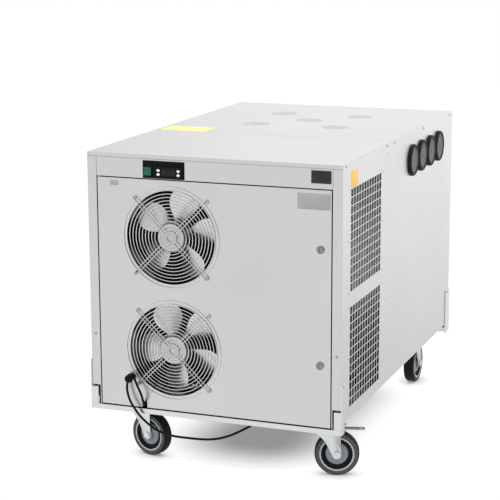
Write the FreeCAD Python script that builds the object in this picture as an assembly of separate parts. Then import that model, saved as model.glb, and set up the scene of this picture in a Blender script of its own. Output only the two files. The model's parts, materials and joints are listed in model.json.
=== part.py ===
import FreeCAD, Part
import math
import os
from FreeCAD import Vector

# Wheeled water-bath beer line cooler: stainless housing on four casters, a hinged front door
# with two condenser fans, a control panel, four python collars and a water bath inside.
# Millimetres. X to the right, Y to the back, Z up. While the pieces are built, X is zero in the
# middle, Y is zero at the housing's front face and Z is zero on the floor. At the end everything
# is moved so that the origin is the middle of the whole cooler's footprint.

os.makedirs("parts", exist_ok=True)

# Housing
body_width = 720.0
body_depth = 1148.0
body_height = 717.0
sheet = 1.5
panel_gap = 3.0
seam_gap = 1.0
fit_gap = 0.5
overrun = 1.0
running_fit = 0.05
loose_fit = 0.3

# Base frame
rail_height = 14.0
rail_depth = 30.0
rail_proud = 3.0
rail_wall = 2.0
side_rail_height = 27.0
side_rail_width = 80.0
side_rail_inset = 30.0
pan_sheet = 2.0
pan_lip = 20.0
pan_setback = 26.0

# Corner uprights
upright_thick = 3.0
upright_height = 140.0
upright_depth = 22.0
rear_upright_depth = 45.0
post_width = 22.0
post_height = 63.0
notch_height = 68.0
notch_width = 24.0

# Side panels
stile_width = 26.6
stile_return = 17.0
rear_fold = 20.0
slot_columns = 12
slot_rows = 12
slot_pitch_y = 23.4
slot_pitch_z = 22.9
slot_bar_y = 3.6
slot_bar_z = 2.6
grille_front = 69.7
upper_grille_drop = 71.5
lower_grille_drop = 386.0

# Covers
lip_height = 10.7
inner_lip = 14.0
front_cover_depth = 450.0
vent_hole_radius = 3.0
vent_pitch = 13.0
vent_rings = 3
vent_spacing = 125.0
vent_rear_gap = 356.0

# Fascia and controls
fascia_drop = 63.5
fascia_return = 16.0
plate_left = 164.4
plate_width = 118.4
plate_height = 47.0
plate_drop = 15.2
plate_thick = 3.0
thermostat_left = 199.8
thermostat_width = 80.0
thermostat_height = 33.0
thermostat_drop = 28.5
thermostat_proud = 4.0
thermostat_body_width = 71.0
thermostat_body_height = 28.6
thermostat_body_depth = 55.0
display_width = 38.0
display_height = 19.5
display_depth = 0.8
display_rise = 2.7
button_width = 8.4
button_height = 6.4
button_pitch = 10.6
button_spread = 57.2
button_centre_drop = 16.1
button_proud = 1.2
button_travel = 0.8
rocker_left = 178.6
rocker_drop = 43.6
rocker_key_width = 21.0
rocker_key_radius = 11.1
rocker_frame_border = 1.5
rocker_frame_proud = 2.0
rocker_wall = 1.0
rocker_body_depth = 16.0
rocker_rest_tilt = 8.0
rocker_crest = 3.4
rocker_dip = 1.0

# Door
door_return = 18.0
hinge_inset = 4.5
hinge_pin_radius = 2.5
hinge_pin_length = 22.0
cord_notch_width = 15.0
cord_notch_height = 18.0

# Fans
fan_radius = 124.0
fan_opening_radius = 128.0
fan_collar_depth = 75.0
upper_fan_left = 242.0
upper_fan_drop = 220.2
lower_fan_left = 245.2
lower_fan_drop = 530.2
guard_wire_radius = 1.3
guard_outer_radius = 137.2
guard_inner_radius = 45.5
guard_rings = 11
guard_seat = 0.3
guard_weld = 0.25
spoke_spacing = 9.0
lug_reach = 103.2
lug_radius = 5.0
guard_screw_radius = 2.0
guard_screw_head = 4.6
guard_screw_head_height = 2.4
motor_boss_radius = 38.0
motor_boss_depth = 10.0
motor_radius = 42.0
motor_depth = 44.0
fan_shaft_radius = 4.0
fan_shaft_reach = 12.0
fan_hub_radius = 30.0
fan_hub_depth = 24.0
fan_hub_gap = 2.5
blade_count = 5
blade_span_deg = 50.0
blade_root_deg = 34.0
blade_wide_share = 0.5
blade_tip_share = 0.95
blade_outline_steps = 8
blade_rise = 26.0
blade_camber = 5.0
blade_thick = 1.6
blade_section = ((0.0, 0.0), (0.5, blade_camber), (1.0, 0.0))
fan_phases = {"upper": 8.0, "lower": 45.0}

# Quarter-turn locks
lock_left = 661.2
upper_lock_drop = 222.3
lower_lock_drop = 531.9
lock_head_radius = 10.5
lock_head_height = 5.0
lock_plug_radius = 8.0
lock_cam_length = 42.0
lock_cam_width = 16.0
lock_cam_thick = 3.0
lock_cam_clearance = 2.0
lock_slot_width = 3.0
lock_slot_depth = 2.0

# Cord hook
hook_left = 122.5
hook_drop = 615.3
hook_ball_radius = 11.5
hook_ball_reach = 25.5
hook_neck_radius = 5.0
hook_foot_radius = 8.0
hook_foot_height = 2.0
hook_stud_radius = 3.0
hook_stud_length = 10.0

# Python collars
collar_radius = 46.4
collar_bore = 36.0
collar_proud = 10.5
collar_sleeve_radius = 39.7
collar_sleeve_depth = 12.0
collar_count = 4
collar_rear_gap = 481.0
collar_pitch = 99.5
collar_drop = 85.0
plug_recess = 2.5
plug_depth = 14.0
plug_hole_radius = 3.2
plug_hole_depth = 8.0

# Fasteners
screw_radius = 4.0
screw_proud = 2.0
screw_grip = 6.0
rivet_radius = 2.6
rivet_proud = 0.9

# Casters
caster_height = 157.0
caster_side_inset = 90.0
caster_end_inset = 125.0
caster_trail = 38.0
wheel_radius = 61.0
wheel_width = 34.0
tyre_corner = 7.0
rim_radius = 44.0
rim_edge = 3.0
rim_edge_inset = 3.0
rim_web = 10.0
rim_hub_radius = 15.0
hub_end_gap = 0.6
axle_radius = 6.0
axle_head_radius = 9.5
axle_head_height = 4.5
caster_plate_length = 96.0
caster_plate_width = 84.0
caster_plate_thick = 3.5
caster_bolt_radius = 4.0
caster_bolt_head = 6.5
caster_bolt_height = 4.5
caster_bolt_grip = 9.0
caster_bolt_inset = 11.0
swivel_pin_radius = 9.0
swivel_gap = 0.4
crown_radius = 34.0
crown_height = 14.0
leg_thick = 3.0
leg_gap = 2.6
leg_front = 26.0
leg_back = 10.0
leg_foot = 12.0
tongue_length = 14.0
tongue_width = 22.0
tongue_thick = 2.5
caster_turns = {"front_left": -16.5, "front_right": 17.4, "rear_left": 60.0, "rear_right": 90.0}
pedal_pivot = 40.0
pedal_pin_radius = 3.0
pedal_pin_drop = 11.0
pedal_eye_reach = 104.0
pedal_eye_radius = 10.0
pedal_eye_hole = 5.5
pedal_width = 18.0
pedal_thick = 3.5
pedal_pad_length = 9.0
pedal_pad_drop = 4.0
pedal_pad_reach = 14.0

# Water bath and machine room
bulkhead_setback = 6.0
foam_thick = 30.0
foam_side_gap = 34.0
foam_base_gap = 2.0
tank_wall = 1.2
tank_top_drop = 165.0
tank_rim = 20.0
coil_tube_radius = 4.75
coil_radius = 70.0
coil_turns = 7
coil_rise = 44.0
coil_spread_x = 130.0
coil_spread_y = 125.0
coil_floor_gap = 60.0
coil_post_steps = ((1, 0.5), (-1, 2.5))
evaporator_tube_radius = 6.0
evaporator_wall_gap = 22.0
evaporator_turns = 5
evaporator_rise = 62.0
evaporator_bend = 40.0
evaporator_floor_gap = 70.0
bridge_width = 110.0
bridge_thick = 4.0
pump_radius = 30.0
pump_height = 84.0
pump_pitch = 108.0
pump_stem_radius = 7.0
pump_head_radius = 28.0
pump_head_height = 30.0
pump_stem_length = 300.0
agitator_shaft_radius = 5.0
agitator_length = 330.0
agitator_blade_length = 34.0
agitator_blade_width = 16.0
agitator_blade_thick = 2.0
agitator_tilt = 35.0
agitator_bush = 40.0
compressor_radius = 92.0
compressor_height = 215.0
compressor_dome = 26.0
compressor_side_gap = 170.0
compressor_back = 300.0
foot_radius = 14.0
foot_height = 16.0
foot_spread = 82.0
base_plate_thick = 3.0
condenser_side_gap = 98.0
condenser_width = 296.0
condenser_front = 95.0
condenser_depth = 46.0
condenser_base_gap = 30.0
condenser_top_drop = 78.0
condenser_cheek = 2.0
condenser_fins = 24
condenser_fin_thick = 1.2
condenser_tube_radius = 4.75
condenser_rows = 7
drier_radius = 11.0
drier_length = 90.0
drier_clear_share = 2.5
line_radius = 4.0
line_bend = 22.0
box_width = 170.0
box_height = 120.0
box_depth = 58.0
box_side_gap = 160.0
box_drop = 120.0
drain_radius = 9.0
drain_bore = 6.5
drain_side_gap = 160.0
drain_proud = 24.0
drain_flange_radius = 18.0
drain_flange_thick = 4.0
drain_rise = 26.0

# Mains lead
cord_radius = 3.25
gland_radius = 5.4
gland_length = 20.0
gland_left = 157.5
gland_rise = 19.0
gland_back = 16.3
gland_foot = 7.0
gland_tilt = 30.0
gland_tip_share = 1.4
cord_start_run = 12.0
cord_wrap_gap = 0.2
clip_thick = 1.5
clip_width = 8.0
clip_runs = (24, 26, 28)
coil_loops = 3
coil_outer = 44.0
coil_step = 8.0
coil_climb = 0.5
coil_quarter = 0.25
coil_layer = 7.0
coil_lead = 62.0
plug_radius = 18.5
plug_length = 40.0
plug_neck_radius = 7.0
plug_neck_length = 34.0
plug_pin_radius = 2.4
plug_pin_length = 19.0
plug_pin_spread = 19.0
plug_tip_share = 1.3
plug_shares = [(0.15, 0.8), (0.5, 1.0)]
floor_gap = 0.1
tiny = 1e-7

# Derived planes
half_width = body_width / 2
base_z = caster_height
top_z = base_z + body_height
panel_top = top_z - sheet
side_bottom = base_z + side_rail_height
stile_inner = half_width - stile_width
door_half = stile_inner - panel_gap
door_bottom = base_z + rail_height + panel_gap
fascia_bottom = top_z - fascia_drop
door_top = fascia_bottom - panel_gap
rear_y = body_depth
grille_width = slot_columns * slot_pitch_y
vent_centre_back = rear_y - vent_rear_gap
collar_first_back = rear_y - collar_rear_gap
bulkhead_back = front_cover_depth + bulkhead_setback
compressor_right = half_width - compressor_side_gap
condenser_left = condenser_side_gap - half_width
box_left = box_side_gap - half_width
drain_right = drain_side_gap - half_width
grille_height = slot_rows * slot_pitch_z

nodes = {}
points = {}


def box(x0, x1, y0, y1, z0, z1):
    low = Vector(min(x0, x1), min(y0, y1), min(z0, z1))
    return Part.makeBox(abs(x1 - x0), abs(y1 - y0), abs(z1 - z0), low)


def rod(start, axis, radius, length):
    return Part.makeCylinder(radius, length, Vector(*start), Vector(*axis))


def tube_ring(start, axis, outer, inner, length):
    return rod(start, axis, outer, length).cut(rod(start, axis, inner, length))


def fuse(shapes):
    return shapes[0].multiFuse(shapes[1:]).removeSplitter() if len(shapes) > 1 else shapes[0]


def prism(corners, push):
    loop = [Vector(*corner) for corner in corners]
    return Part.Face(Part.makePolygon(loop + loop[:1])).extrude(Vector(*push))


def revolve_z(profile):
    loop = [Vector(radius, 0, height) for radius, height in profile]
    face = Part.Face(Part.makePolygon(loop + loop[:1]))
    return face.revolve(Vector(0, 0, 0), Vector(0, 0, 1), 360)


def keep(name, shapes):
    nodes[name] = shapes if isinstance(shapes, list) else [shapes]


# A tube along straight runs joined by tangent arcs. Each arc takes a share of its shorter run,
# unless a bend radius is given that is smaller.
run_share = 0.45


def tube(route, radius, bend=None, report=None):
    stops = [Vector(*stop) for stop in route]
    edges = []
    radii = []
    here = stops[0]
    for before, corner, after in zip(stops, stops[1:], stops[2:]):
        into = (corner - before).normalize()
        out = (after - corner).normalize()
        half = into.getAngle(out) / 2
        reach = run_share * min((corner - before).Length, (after - corner).Length)
        if bend and bend * math.tan(half) < reach:
            reach = bend * math.tan(half)
        arc_radius = reach / math.tan(half)
        radii.append(arc_radius)
        first = corner - into * reach
        last = corner + out * reach
        inward = (out - into).normalize()
        middle = corner + inward * (arc_radius / math.cos(half) - arc_radius)
        edges.append(Part.LineSegment(here, first).toShape())
        edges.append(Part.Arc(first, middle, last).toShape())
        here = last
    edges.append(Part.LineSegment(here, stops[-1]).toShape())
    path = Part.Wire(edges)
    ring = Part.Wire(Part.Circle(stops[0], stops[1] - stops[0], radius).toShape())
    solid = path.makePipeShell([ring], True, False)
    if report:
        ratio = solid.Volume / (math.pi * radius ** 2 * path.Length)
        print(report, "length", round(path.Length, 1), "volume ratio", round(ratio, 4),
              "radii", [round(value) for value in radii])
    return solid


def base_frame():
    inner = rail_wall
    rails = []
    for front in (-rail_proud, rear_y - rail_depth):
        outer = box(-half_width, half_width, front, front + rail_depth, base_z, base_z + rail_height)
        hollow = box(-half_width + inner, half_width - inner, front + inner,
                     front + rail_depth - inner, base_z + inner, base_z + rail_height - inner)
        riser = box(-half_width + side_rail_inset, half_width - side_rail_inset,
                    front + rail_depth - inner, front + rail_depth,
                    base_z + rail_height, base_z + side_rail_height)
        rails.append(fuse([outer.cut(hollow), riser]))
    pin = hinge_place()
    socket = rod((pin[0], pin[1], base_z + rail_height - inner - overrun), (0, 0, 1),
                 hinge_pin_radius + running_fit, inner + 2 * overrun)
    rails[0] = rails[0].cut(socket)
    keep("base_cross_rails", rails)
    sides = []
    for side in (-1, 1):
        outer_x = half_width - side_rail_inset
        inner_x = outer_x - side_rail_width
        start = rail_depth - rail_proud
        end = rear_y - rail_depth
        bar = box(side * inner_x, side * outer_x, start, end, base_z, base_z + side_rail_height)
        hollow = box(side * (inner_x + inner), side * (outer_x - inner), start + inner, end - inner,
                     base_z + inner, base_z + side_rail_height - inner)
        sides.append(bar.cut(hollow))
    keep("base_side_rails", sides)


def corner_uprights():
    pieces = []
    for side in (-1, 1):
        outside = half_width + upright_thick
        front_plate = box(side * half_width, side * outside, -rail_proud, upright_depth,
                          base_z, base_z + upright_height)
        front_post = box(side * (outside - post_width), side * outside, -rail_proud, 0,
                         base_z + rail_height, base_z + post_height)
        pieces.append(fuse([front_plate, front_post]))
        rear_plate = box(side * half_width, side * outside, rear_y - rear_upright_depth, rear_y,
                         base_z, base_z + upright_height)
        rear_post = box(side * (outside - post_width), side * outside, rear_y,
                        rear_y + upright_thick, base_z, base_z + post_height)
        pieces.append(fuse([rear_plate, rear_post]))
    keep("corner_uprights", pieces)


def floor_pan():
    edge = half_width - sheet
    back = rear_y - sheet
    low = side_bottom
    sheet_top = low + pan_sheet
    plate = box(-edge, edge, pan_setback, back, low, sheet_top)
    lips = [box(side * (edge - sheet), side * edge, pan_setback, back, sheet_top, sheet_top + pan_lip)
            for side in (-1, 1)]
    lips.append(box(-edge, edge, back - sheet, back, sheet_top, sheet_top + pan_lip))
    keep("floor_pan", fuse([plate] + lips))


def grille_slots(drop):
    slots = []
    for column in range(slot_columns):
        for row in range(slot_rows):
            y0 = grille_front + column * slot_pitch_y + slot_bar_y / 2
            z1 = top_z - drop - row * slot_pitch_z - slot_bar_z / 2
            slots.append(box(-half_width - overrun, -half_width + sheet + overrun,
                             y0, y0 + slot_pitch_y - slot_bar_y,
                             z1 - slot_pitch_z + slot_bar_z, z1))
    return slots


def collar_places():
    return [(collar_first_back + index * collar_pitch, top_z - collar_drop)
            for index in range(collar_count)]


def front_stiles():
    low = base_z + rail_height + fit_gap
    high = top_z - lip_height - fit_gap
    stiles = []
    for side in (-1, 1):
        face = box(side * half_width, side * stile_inner, 0, sheet, low, high)
        inner = box(side * stile_inner, side * (stile_inner + sheet), 0, stile_return, low, high)
        notch = box(side * (half_width + overrun), side * (half_width - notch_width), -overrun,
                    sheet + overrun, base_z, base_z + notch_height)
        stiles.append(fuse([face, inner]).cut(notch))
    keep("front_stiles", stiles)


def side_panel(side):
    skin = box(-half_width, -half_width + sheet, sheet, rear_y, side_bottom, panel_top)
    fold = box(-half_width, -half_width + rear_fold, rear_y - sheet, rear_y, side_bottom, panel_top)
    panel = fuse([skin, fold])
    holes = grille_slots(upper_grille_drop) + grille_slots(lower_grille_drop)
    if side > 0:
        for place in collar_places():
            holes.append(rod((-half_width - overrun, place[0], place[1]), (1, 0, 0),
                             collar_sleeve_radius + loose_fit, sheet + 2 * overrun))
    panel = panel.cut(Part.makeCompound(holes))
    if side > 0:
        panel = panel.mirror(Vector(0, 0, 0), Vector(1, 0, 0))
    return panel


def rear_panel():
    edge = half_width - rear_fold - fit_gap
    panel = box(-edge, edge, rear_y - sheet, rear_y, side_bottom, panel_top)
    hole = rod((drain_right, rear_y - sheet - overrun, drain_height()), (0, 1, 0),
               drain_radius + loose_fit, sheet + 2 * overrun)
    keep("rear_panel", panel.cut(hole))


def lid_lips(front, back):
    edge = half_width - sheet
    return [box(side * (edge - sheet), side * edge, front, back, top_z - inner_lip, panel_top)
            for side in (-1, 1)]


def front_cover():
    plate = box(-half_width, half_width, 0, front_cover_depth, panel_top, top_z)
    lip = box(-half_width, half_width, 0, sheet, top_z - lip_height, panel_top)
    corners = [box(side * half_width, side * (half_width - sheet - fit_gap), sheet,
                   sheet + overrun, panel_top, top_z - lip_height) for side in (-1, 1)]
    cover = fuse([plate, lip] + lid_lips(stile_return + panel_gap, front_cover_depth - panel_gap))
    keep("front_cover", cover.cut(Part.makeCompound(corners)))
    points["lid_top"] = (0.0, front_cover_depth / 2, top_z)


def vent_patch(centre_x, centre_y):
    holes = []
    row_rise = vent_pitch * math.sin(math.radians(60))
    for row in range(-vent_rings, vent_rings + 1):
        count = 2 * vent_rings + 1 - abs(row)
        for column in range(count):
            x = centre_x + (column - (count - 1) / 2) * vent_pitch
            holes.append(rod((x, centre_y + row * row_rise, panel_top - overrun), (0, 0, 1),
                             vent_hole_radius, sheet + 2 * overrun))
    return holes


def vent_places():
    corners = [(a * vent_spacing, vent_centre_back + b * vent_spacing)
               for a in (-1, 1) for b in (-1, 1)]
    return [(0.0, vent_centre_back)] + corners


def rear_lid():
    front = front_cover_depth + seam_gap
    plate = box(-half_width, half_width, front, rear_y, panel_top, top_z)
    rear_lip = box(-half_width + rear_fold + fit_gap, half_width - rear_fold - fit_gap,
                   rear_y - 2 * sheet, rear_y - sheet, top_z - inner_lip, panel_top)
    lid = fuse([plate, rear_lip] + lid_lips(front + panel_gap, rear_y - panel_gap - sheet))
    holes = []
    for place in vent_places():
        holes += vent_patch(*place)
    keep("rear_lid", lid.cut(Part.makeCompound(holes)))


def from_left(distance):
    return distance - half_width


def hinge_place():
    return (-door_half + hinge_inset, hinge_inset)


def thermostat_box(width, height, y0, y1):
    middle_x = from_left(thermostat_left) + thermostat_width / 2
    middle_z = top_z - thermostat_drop - thermostat_height / 2
    return box(middle_x - width / 2, middle_x + width / 2, y0, y1,
               middle_z - height / 2, middle_z + height / 2)


def rocker_box(width, height, y0, y1):
    middle_x = from_left(rocker_left)
    middle_z = top_z - rocker_drop
    return box(middle_x - width / 2, middle_x + width / 2, y0, y1,
               middle_z - height / 2, middle_z + height / 2)


rocker_open_width = rocker_key_width + 2 * loose_fit
rocker_open_height = 2 * (rocker_key_radius + loose_fit)


def fascia():
    edge = stile_inner - fit_gap
    high = top_z - lip_height - fit_gap
    skin = box(-edge, edge, 0, sheet, fascia_bottom, high)
    bottom = box(-edge, edge, 0, fascia_return, fascia_bottom, fascia_bottom + sheet)
    top = box(-edge, edge, 0, fascia_return, high - sheet, high)
    pin = hinge_place()
    cuts = [thermostat_box(thermostat_body_width + 2 * loose_fit,
                           thermostat_body_height + 2 * loose_fit, -overrun, sheet + overrun),
            rocker_box(rocker_open_width + 2 * rocker_wall + 2 * loose_fit,
                       rocker_open_height + 2 * rocker_wall + 2 * loose_fit,
                       -overrun, sheet + overrun),
            rod((pin[0], pin[1], fascia_bottom - overrun), (0, 0, 1),
                hinge_pin_radius + running_fit, sheet + 2 * overrun)]
    keep("fascia", fuse([skin, bottom, top]).cut(Part.makeCompound(cuts)))


def control_plate():
    left = from_left(plate_left)
    high = top_z - plate_drop
    plate = box(left, left + plate_width, -plate_thick, 0, high - plate_height, high)
    cuts = [thermostat_box(thermostat_body_width + 2 * loose_fit,
                           thermostat_body_height + 2 * loose_fit,
                           -plate_thick - overrun, overrun),
            rocker_box(rocker_open_width + 2 * rocker_wall + 2 * loose_fit,
                       rocker_open_height + 2 * rocker_wall + 2 * loose_fit,
                       -plate_thick - overrun, overrun)]
    keep("control_plate", plate.cut(Part.makeCompound(cuts)))


def oval(centre_x, centre_z, width, height, y0, y1):
    straight = width / 2 - height / 2
    middle = box(centre_x - straight, centre_x + straight, y0, y1,
                 centre_z - height / 2, centre_z + height / 2)
    ends = [rod((centre_x + side * straight, y0, centre_z), (0, 1, 0), height / 2, y1 - y0)
            for side in (-1, 1)]
    return fuse([middle] + ends)


def button_places():
    middle = from_left(thermostat_left) + thermostat_width / 2
    height = top_z - thermostat_drop - button_centre_drop
    return [(middle + side * button_spread / 2, height + rise * button_pitch / 2)
            for side in (-1, 1) for rise in (1, -1)]


def thermostat():
    face = -plate_thick - thermostat_proud
    bezel = thermostat_box(thermostat_width, thermostat_height, face, -plate_thick)
    rounded = bezel.makeFillet(thermostat_proud / 3,
                               [edge for edge in bezel.Edges if abs(edge.CenterOfMass.y - face) < fit_gap / 2])
    body = thermostat_box(thermostat_body_width, thermostat_body_height, -plate_thick,
                          thermostat_body_depth)
    window = thermostat_box(display_width, display_height, face - overrun, face + display_depth)
    window.translate(Vector(0, 0, display_rise - display_depth))
    floor = -plate_thick + button_travel + fit_gap
    pockets = [oval(x, z, button_width + 2 * loose_fit, button_height + 2 * loose_fit,
                    face - overrun, floor) for x, z in button_places()]
    keep("thermostat", fuse([rounded, body]).cut(Part.makeCompound([window] + pockets)))
    for index, (x, z) in enumerate(button_places()):
        button = oval(x, z, button_width, button_height, face - button_proud,
                      floor - button_travel - fit_gap)
        keep("thermostat_button_%d" % (index + 1), button)
        points["button_%d" % (index + 1)] = (x, face - button_proud, z)


def rocker_switch():
    front = -plate_thick - rocker_frame_proud
    border = rocker_wall + rocker_frame_border
    rim = rocker_box(rocker_open_width + 2 * border, rocker_open_height + 2 * border, front, -plate_thick)
    body = rocker_box(rocker_open_width + 2 * rocker_wall, rocker_open_height + 2 * rocker_wall,
                      -plate_thick, rocker_body_depth)
    opening = rocker_box(rocker_open_width, rocker_open_height, front - overrun,
                         rocker_body_depth - rocker_wall)
    keep("rocker_frame", fuse([rim, body]).cut(opening))
    middle_x = from_left(rocker_left)
    middle_z = top_z - rocker_drop
    pivot_y = front + overrun
    drum = rod((middle_x - rocker_key_width / 2, pivot_y, middle_z), (1, 0, 0),
               rocker_key_radius, rocker_key_width)
    reach = rocker_key_radius + overrun
    outline = [(middle_x - rocker_key_width / 2, pivot_y - rocker_crest, middle_z + reach),
               (middle_x - rocker_key_width / 2, pivot_y - rocker_dip, middle_z),
               (middle_x - rocker_key_width / 2, pivot_y - rocker_crest, middle_z - reach),
               (middle_x - rocker_key_width / 2, pivot_y + rocker_crest, middle_z - reach),
               (middle_x - rocker_key_width / 2, pivot_y + rocker_crest, middle_z + reach)]
    key = drum.common(prism(outline, (rocker_key_width, 0, 0)))
    key.rotate(Vector(middle_x, pivot_y, middle_z), Vector(1, 0, 0), -rocker_rest_tilt)
    keep("rocker_key", key)
    points["rocker"] = (middle_x, pivot_y, middle_z)


def fan_places():
    return {"upper": (from_left(upper_fan_left), top_z - upper_fan_drop),
            "lower": (from_left(lower_fan_left), top_z - lower_fan_drop)}


def lock_places():
    return {"upper": (from_left(lock_left), top_z - upper_lock_drop),
            "lower": (from_left(lock_left), top_z - lower_lock_drop)}


def lug_places(centre):
    return [(centre[0] + a * lug_reach, centre[1] + b * lug_reach) for a in (-1, 1) for b in (-1, 1)]


def front_door():
    skin = box(-door_half, door_half, 0, sheet, door_bottom, door_top)
    flanges = [box(-door_half, -door_half + sheet, 0, door_return, door_bottom, door_top),
               box(door_half - sheet, door_half, 0, door_return, door_bottom, door_top),
               box(-door_half, door_half, 0, door_return, door_bottom, door_bottom + sheet),
               box(-door_half, door_half, 0, door_return, door_top - sheet, door_top)]
    collars = []
    cuts = []
    for x, z in fan_places().values():
        collars.append(rod((x, 0, z), (0, 1, 0), fan_opening_radius + sheet, fan_collar_depth))
        cuts.append(rod((x, -overrun, z), (0, 1, 0), fan_opening_radius, fan_collar_depth + 2 * overrun))
        for lug in lug_places((x, z)):
            cuts.append(rod((lug[0], -overrun, lug[1]), (0, 1, 0),
                            guard_screw_radius + running_fit, sheet + 2 * overrun))
    for x, z in lock_places().values():
        cuts.append(rod((x, -overrun, z), (0, 1, 0), lock_plug_radius + running_fit, sheet + 2 * overrun))
    cuts.append(rod((from_left(hook_left), -overrun, top_z - hook_drop), (0, 1, 0),
                    hook_stud_radius + running_fit, sheet + 2 * overrun))
    gland_x = from_left(gland_left)
    cuts.append(box(gland_x - cord_notch_width / 2, gland_x + cord_notch_width / 2, -overrun,
                    door_return + overrun, door_bottom - overrun, door_bottom + cord_notch_height))
    pin = hinge_place()
    for z in (door_bottom, door_top - sheet):
        cuts.append(rod((pin[0], pin[1], z - overrun), (0, 0, 1),
                        hinge_pin_radius + running_fit, sheet + 2 * overrun))
    keep("front_door", fuse([skin] + flanges + collars).cut(Part.makeCompound(cuts)))
    pins = []
    reach = panel_gap + sheet
    for z in (door_top - hinge_pin_length + reach + sheet, door_bottom - reach - rail_wall / 2):
        pins.append(rod((pin[0], pin[1], z), (0, 0, 1), hinge_pin_radius, hinge_pin_length))
    keep("door_hinge_pins", pins)
    points["door_hinge"] = (pin[0], pin[1], (door_bottom + door_top) / 2)


def fan_guard(name, centre):
    x, z = centre
    wire = guard_wire_radius
    ring_y = -wire - guard_seat
    spoke_y = ring_y - 2 * wire + guard_weld
    step = (guard_outer_radius - guard_inner_radius) / (guard_rings - 1)
    rings = [Part.makeTorus(guard_inner_radius + index * step, wire, Vector(x, ring_y, z), Vector(0, 1, 0))
             for index in range(guard_rings)]
    reach = lug_reach * math.sqrt(2) - lug_radius
    bars = []
    for turn in (45, 135, 225, 315):
        along = Vector(math.cos(math.radians(turn)), 0, math.sin(math.radians(turn)))
        across = Vector(-along.z, 0, along.x)
        for side in (-1, 1):
            start = Vector(x, spoke_y, z) + across * (side * spoke_spacing / 2) + along * spoke_spacing
            bars.append(Part.makeCylinder(wire, reach - spoke_spacing, start, along))
        lug = Vector(x, spoke_y, z) + along * (lug_reach * math.sqrt(2))
        bars.append(Part.makeTorus(lug_radius, wire, lug, Vector(0, 1, 0)))
    boss = tube_ring((x, spoke_y - wire, z), (0, 1, 0), motor_boss_radius / 2,
                     motor_boss_radius / 4, 2 * wire)
    guard = fuse(rings + bars + [boss])
    keep("fan_guard_" + name, guard)
    screws = []
    for lug in lug_places(centre):
        head_y = spoke_y - wire
        head = rod((lug[0], head_y - guard_screw_head_height, lug[1]), (0, 1, 0),
                   guard_screw_head, guard_screw_head_height)
        shank = rod((lug[0], head_y, lug[1]), (0, 1, 0), guard_screw_radius, door_return / 2 - head_y)
        screws.append(fuse([head, shank]))
    return screws


def fan_motor(centre):
    x, z = centre
    front = -guard_seat - 2 * guard_wire_radius + guard_weld
    boss = rod((x, front, z), (0, 1, 0), motor_boss_radius, motor_boss_depth - front)
    can = rod((x, motor_boss_depth, z), (0, 1, 0), motor_radius, motor_depth - motor_boss_depth)
    bore = rod((x, motor_depth - fan_shaft_reach - overrun, z), (0, 1, 0),
               fan_shaft_radius + running_fit, fan_shaft_reach + 2 * overrun)
    return fuse([boss, can]).cut(bore)


def petal_half_turn(share):
    # Half of a blade's turn at a share of its length: it widens to the widest place and rounds off.
    root = math.radians(blade_root_deg / 2)
    widest = math.radians(blade_span_deg / 2)
    if share < blade_wide_share:
        return root + (widest - root) * math.sin(math.pi / 2 * share / blade_wide_share)
    past = (share - blade_wide_share) / (1 - blade_wide_share) * blade_tip_share
    return widest * math.sqrt(1 - past ** 2)


def petal_prism(inner):
    low = []
    high = []
    for step in range(blade_outline_steps + 1):
        share = math.sin(math.pi / 2 * step / blade_outline_steps)
        radius = inner + (fan_radius - inner) * share
        turn = petal_half_turn(share)
        low.append(Vector(radius * math.cos(turn), 0, -radius * math.sin(turn)))
        high.insert(0, Vector(radius * math.cos(turn), 0, radius * math.sin(turn)))
    sides = []
    for side in (low, high):
        curve = Part.BSplineCurve()
        curve.interpolate(side)
        sides.append(curve.toShape())
    edges = [sides[0], Part.Arc(low[-1], Vector(fan_radius, 0, 0), high[0]).toShape(),
             sides[1], Part.makeLine(high[-1], low[0])]
    petal = Part.Face(Part.Wire(edges)).extrude(Vector(0, 4 * blade_rise, 0))
    petal.translate(Vector(0, -2 * blade_rise, 0))
    return petal


def fan_blade():
    start = math.radians(-blade_span_deg / 2)
    inner = fan_hub_radius - 2 * blade_thick
    edges = []
    for share, lift in blade_section:
        turn = start + math.radians(blade_span_deg) * share
        depth = blade_rise * (1 - share) - lift
        ray = Vector(math.cos(turn), 0, math.sin(turn))
        edges.append(Part.Wire(Part.LineSegment(ray * (inner - overrun) + Vector(0, depth, 0),
                                                ray * (fan_radius / math.cos(start / 2) + overrun)
                                                + Vector(0, depth, 0)).toShape()))
    skin = Part.makeLoft(edges, False, False)
    return skin.extrude(Vector(0, blade_thick, 0)).common(petal_prism(inner))


def fan_rotor(name, centre):
    x, z = centre
    front = motor_depth + fan_hub_gap
    hub = rod((0, front, 0), (0, 1, 0), fan_hub_radius, fan_hub_depth)
    shaft = rod((0, motor_depth - fan_shaft_reach, 0), (0, 1, 0), fan_shaft_radius,
                fan_shaft_reach + fan_hub_gap + overrun)
    blades = []
    for index in range(blade_count):
        blade = fan_blade()
        blade.translate(Vector(0, front - blade_thick, 0))
        blade.rotate(Vector(0, 0, 0), Vector(0, 1, 0), index * 360 / blade_count)
        blades.append(blade)
    tip = rod((0, 0, 0), (0, 1, 0), fan_radius, fan_collar_depth * 2)
    rotor = fuse([hub, shaft] + blades).common(tip)
    rotor.rotate(Vector(0, 0, 0), Vector(0, 1, 0), -fan_phases[name])
    rotor.translate(Vector(x, 0, z))
    keep("fan_rotor_" + name, rotor)
    points["fan_" + name] = (x, motor_depth, z)


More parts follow.
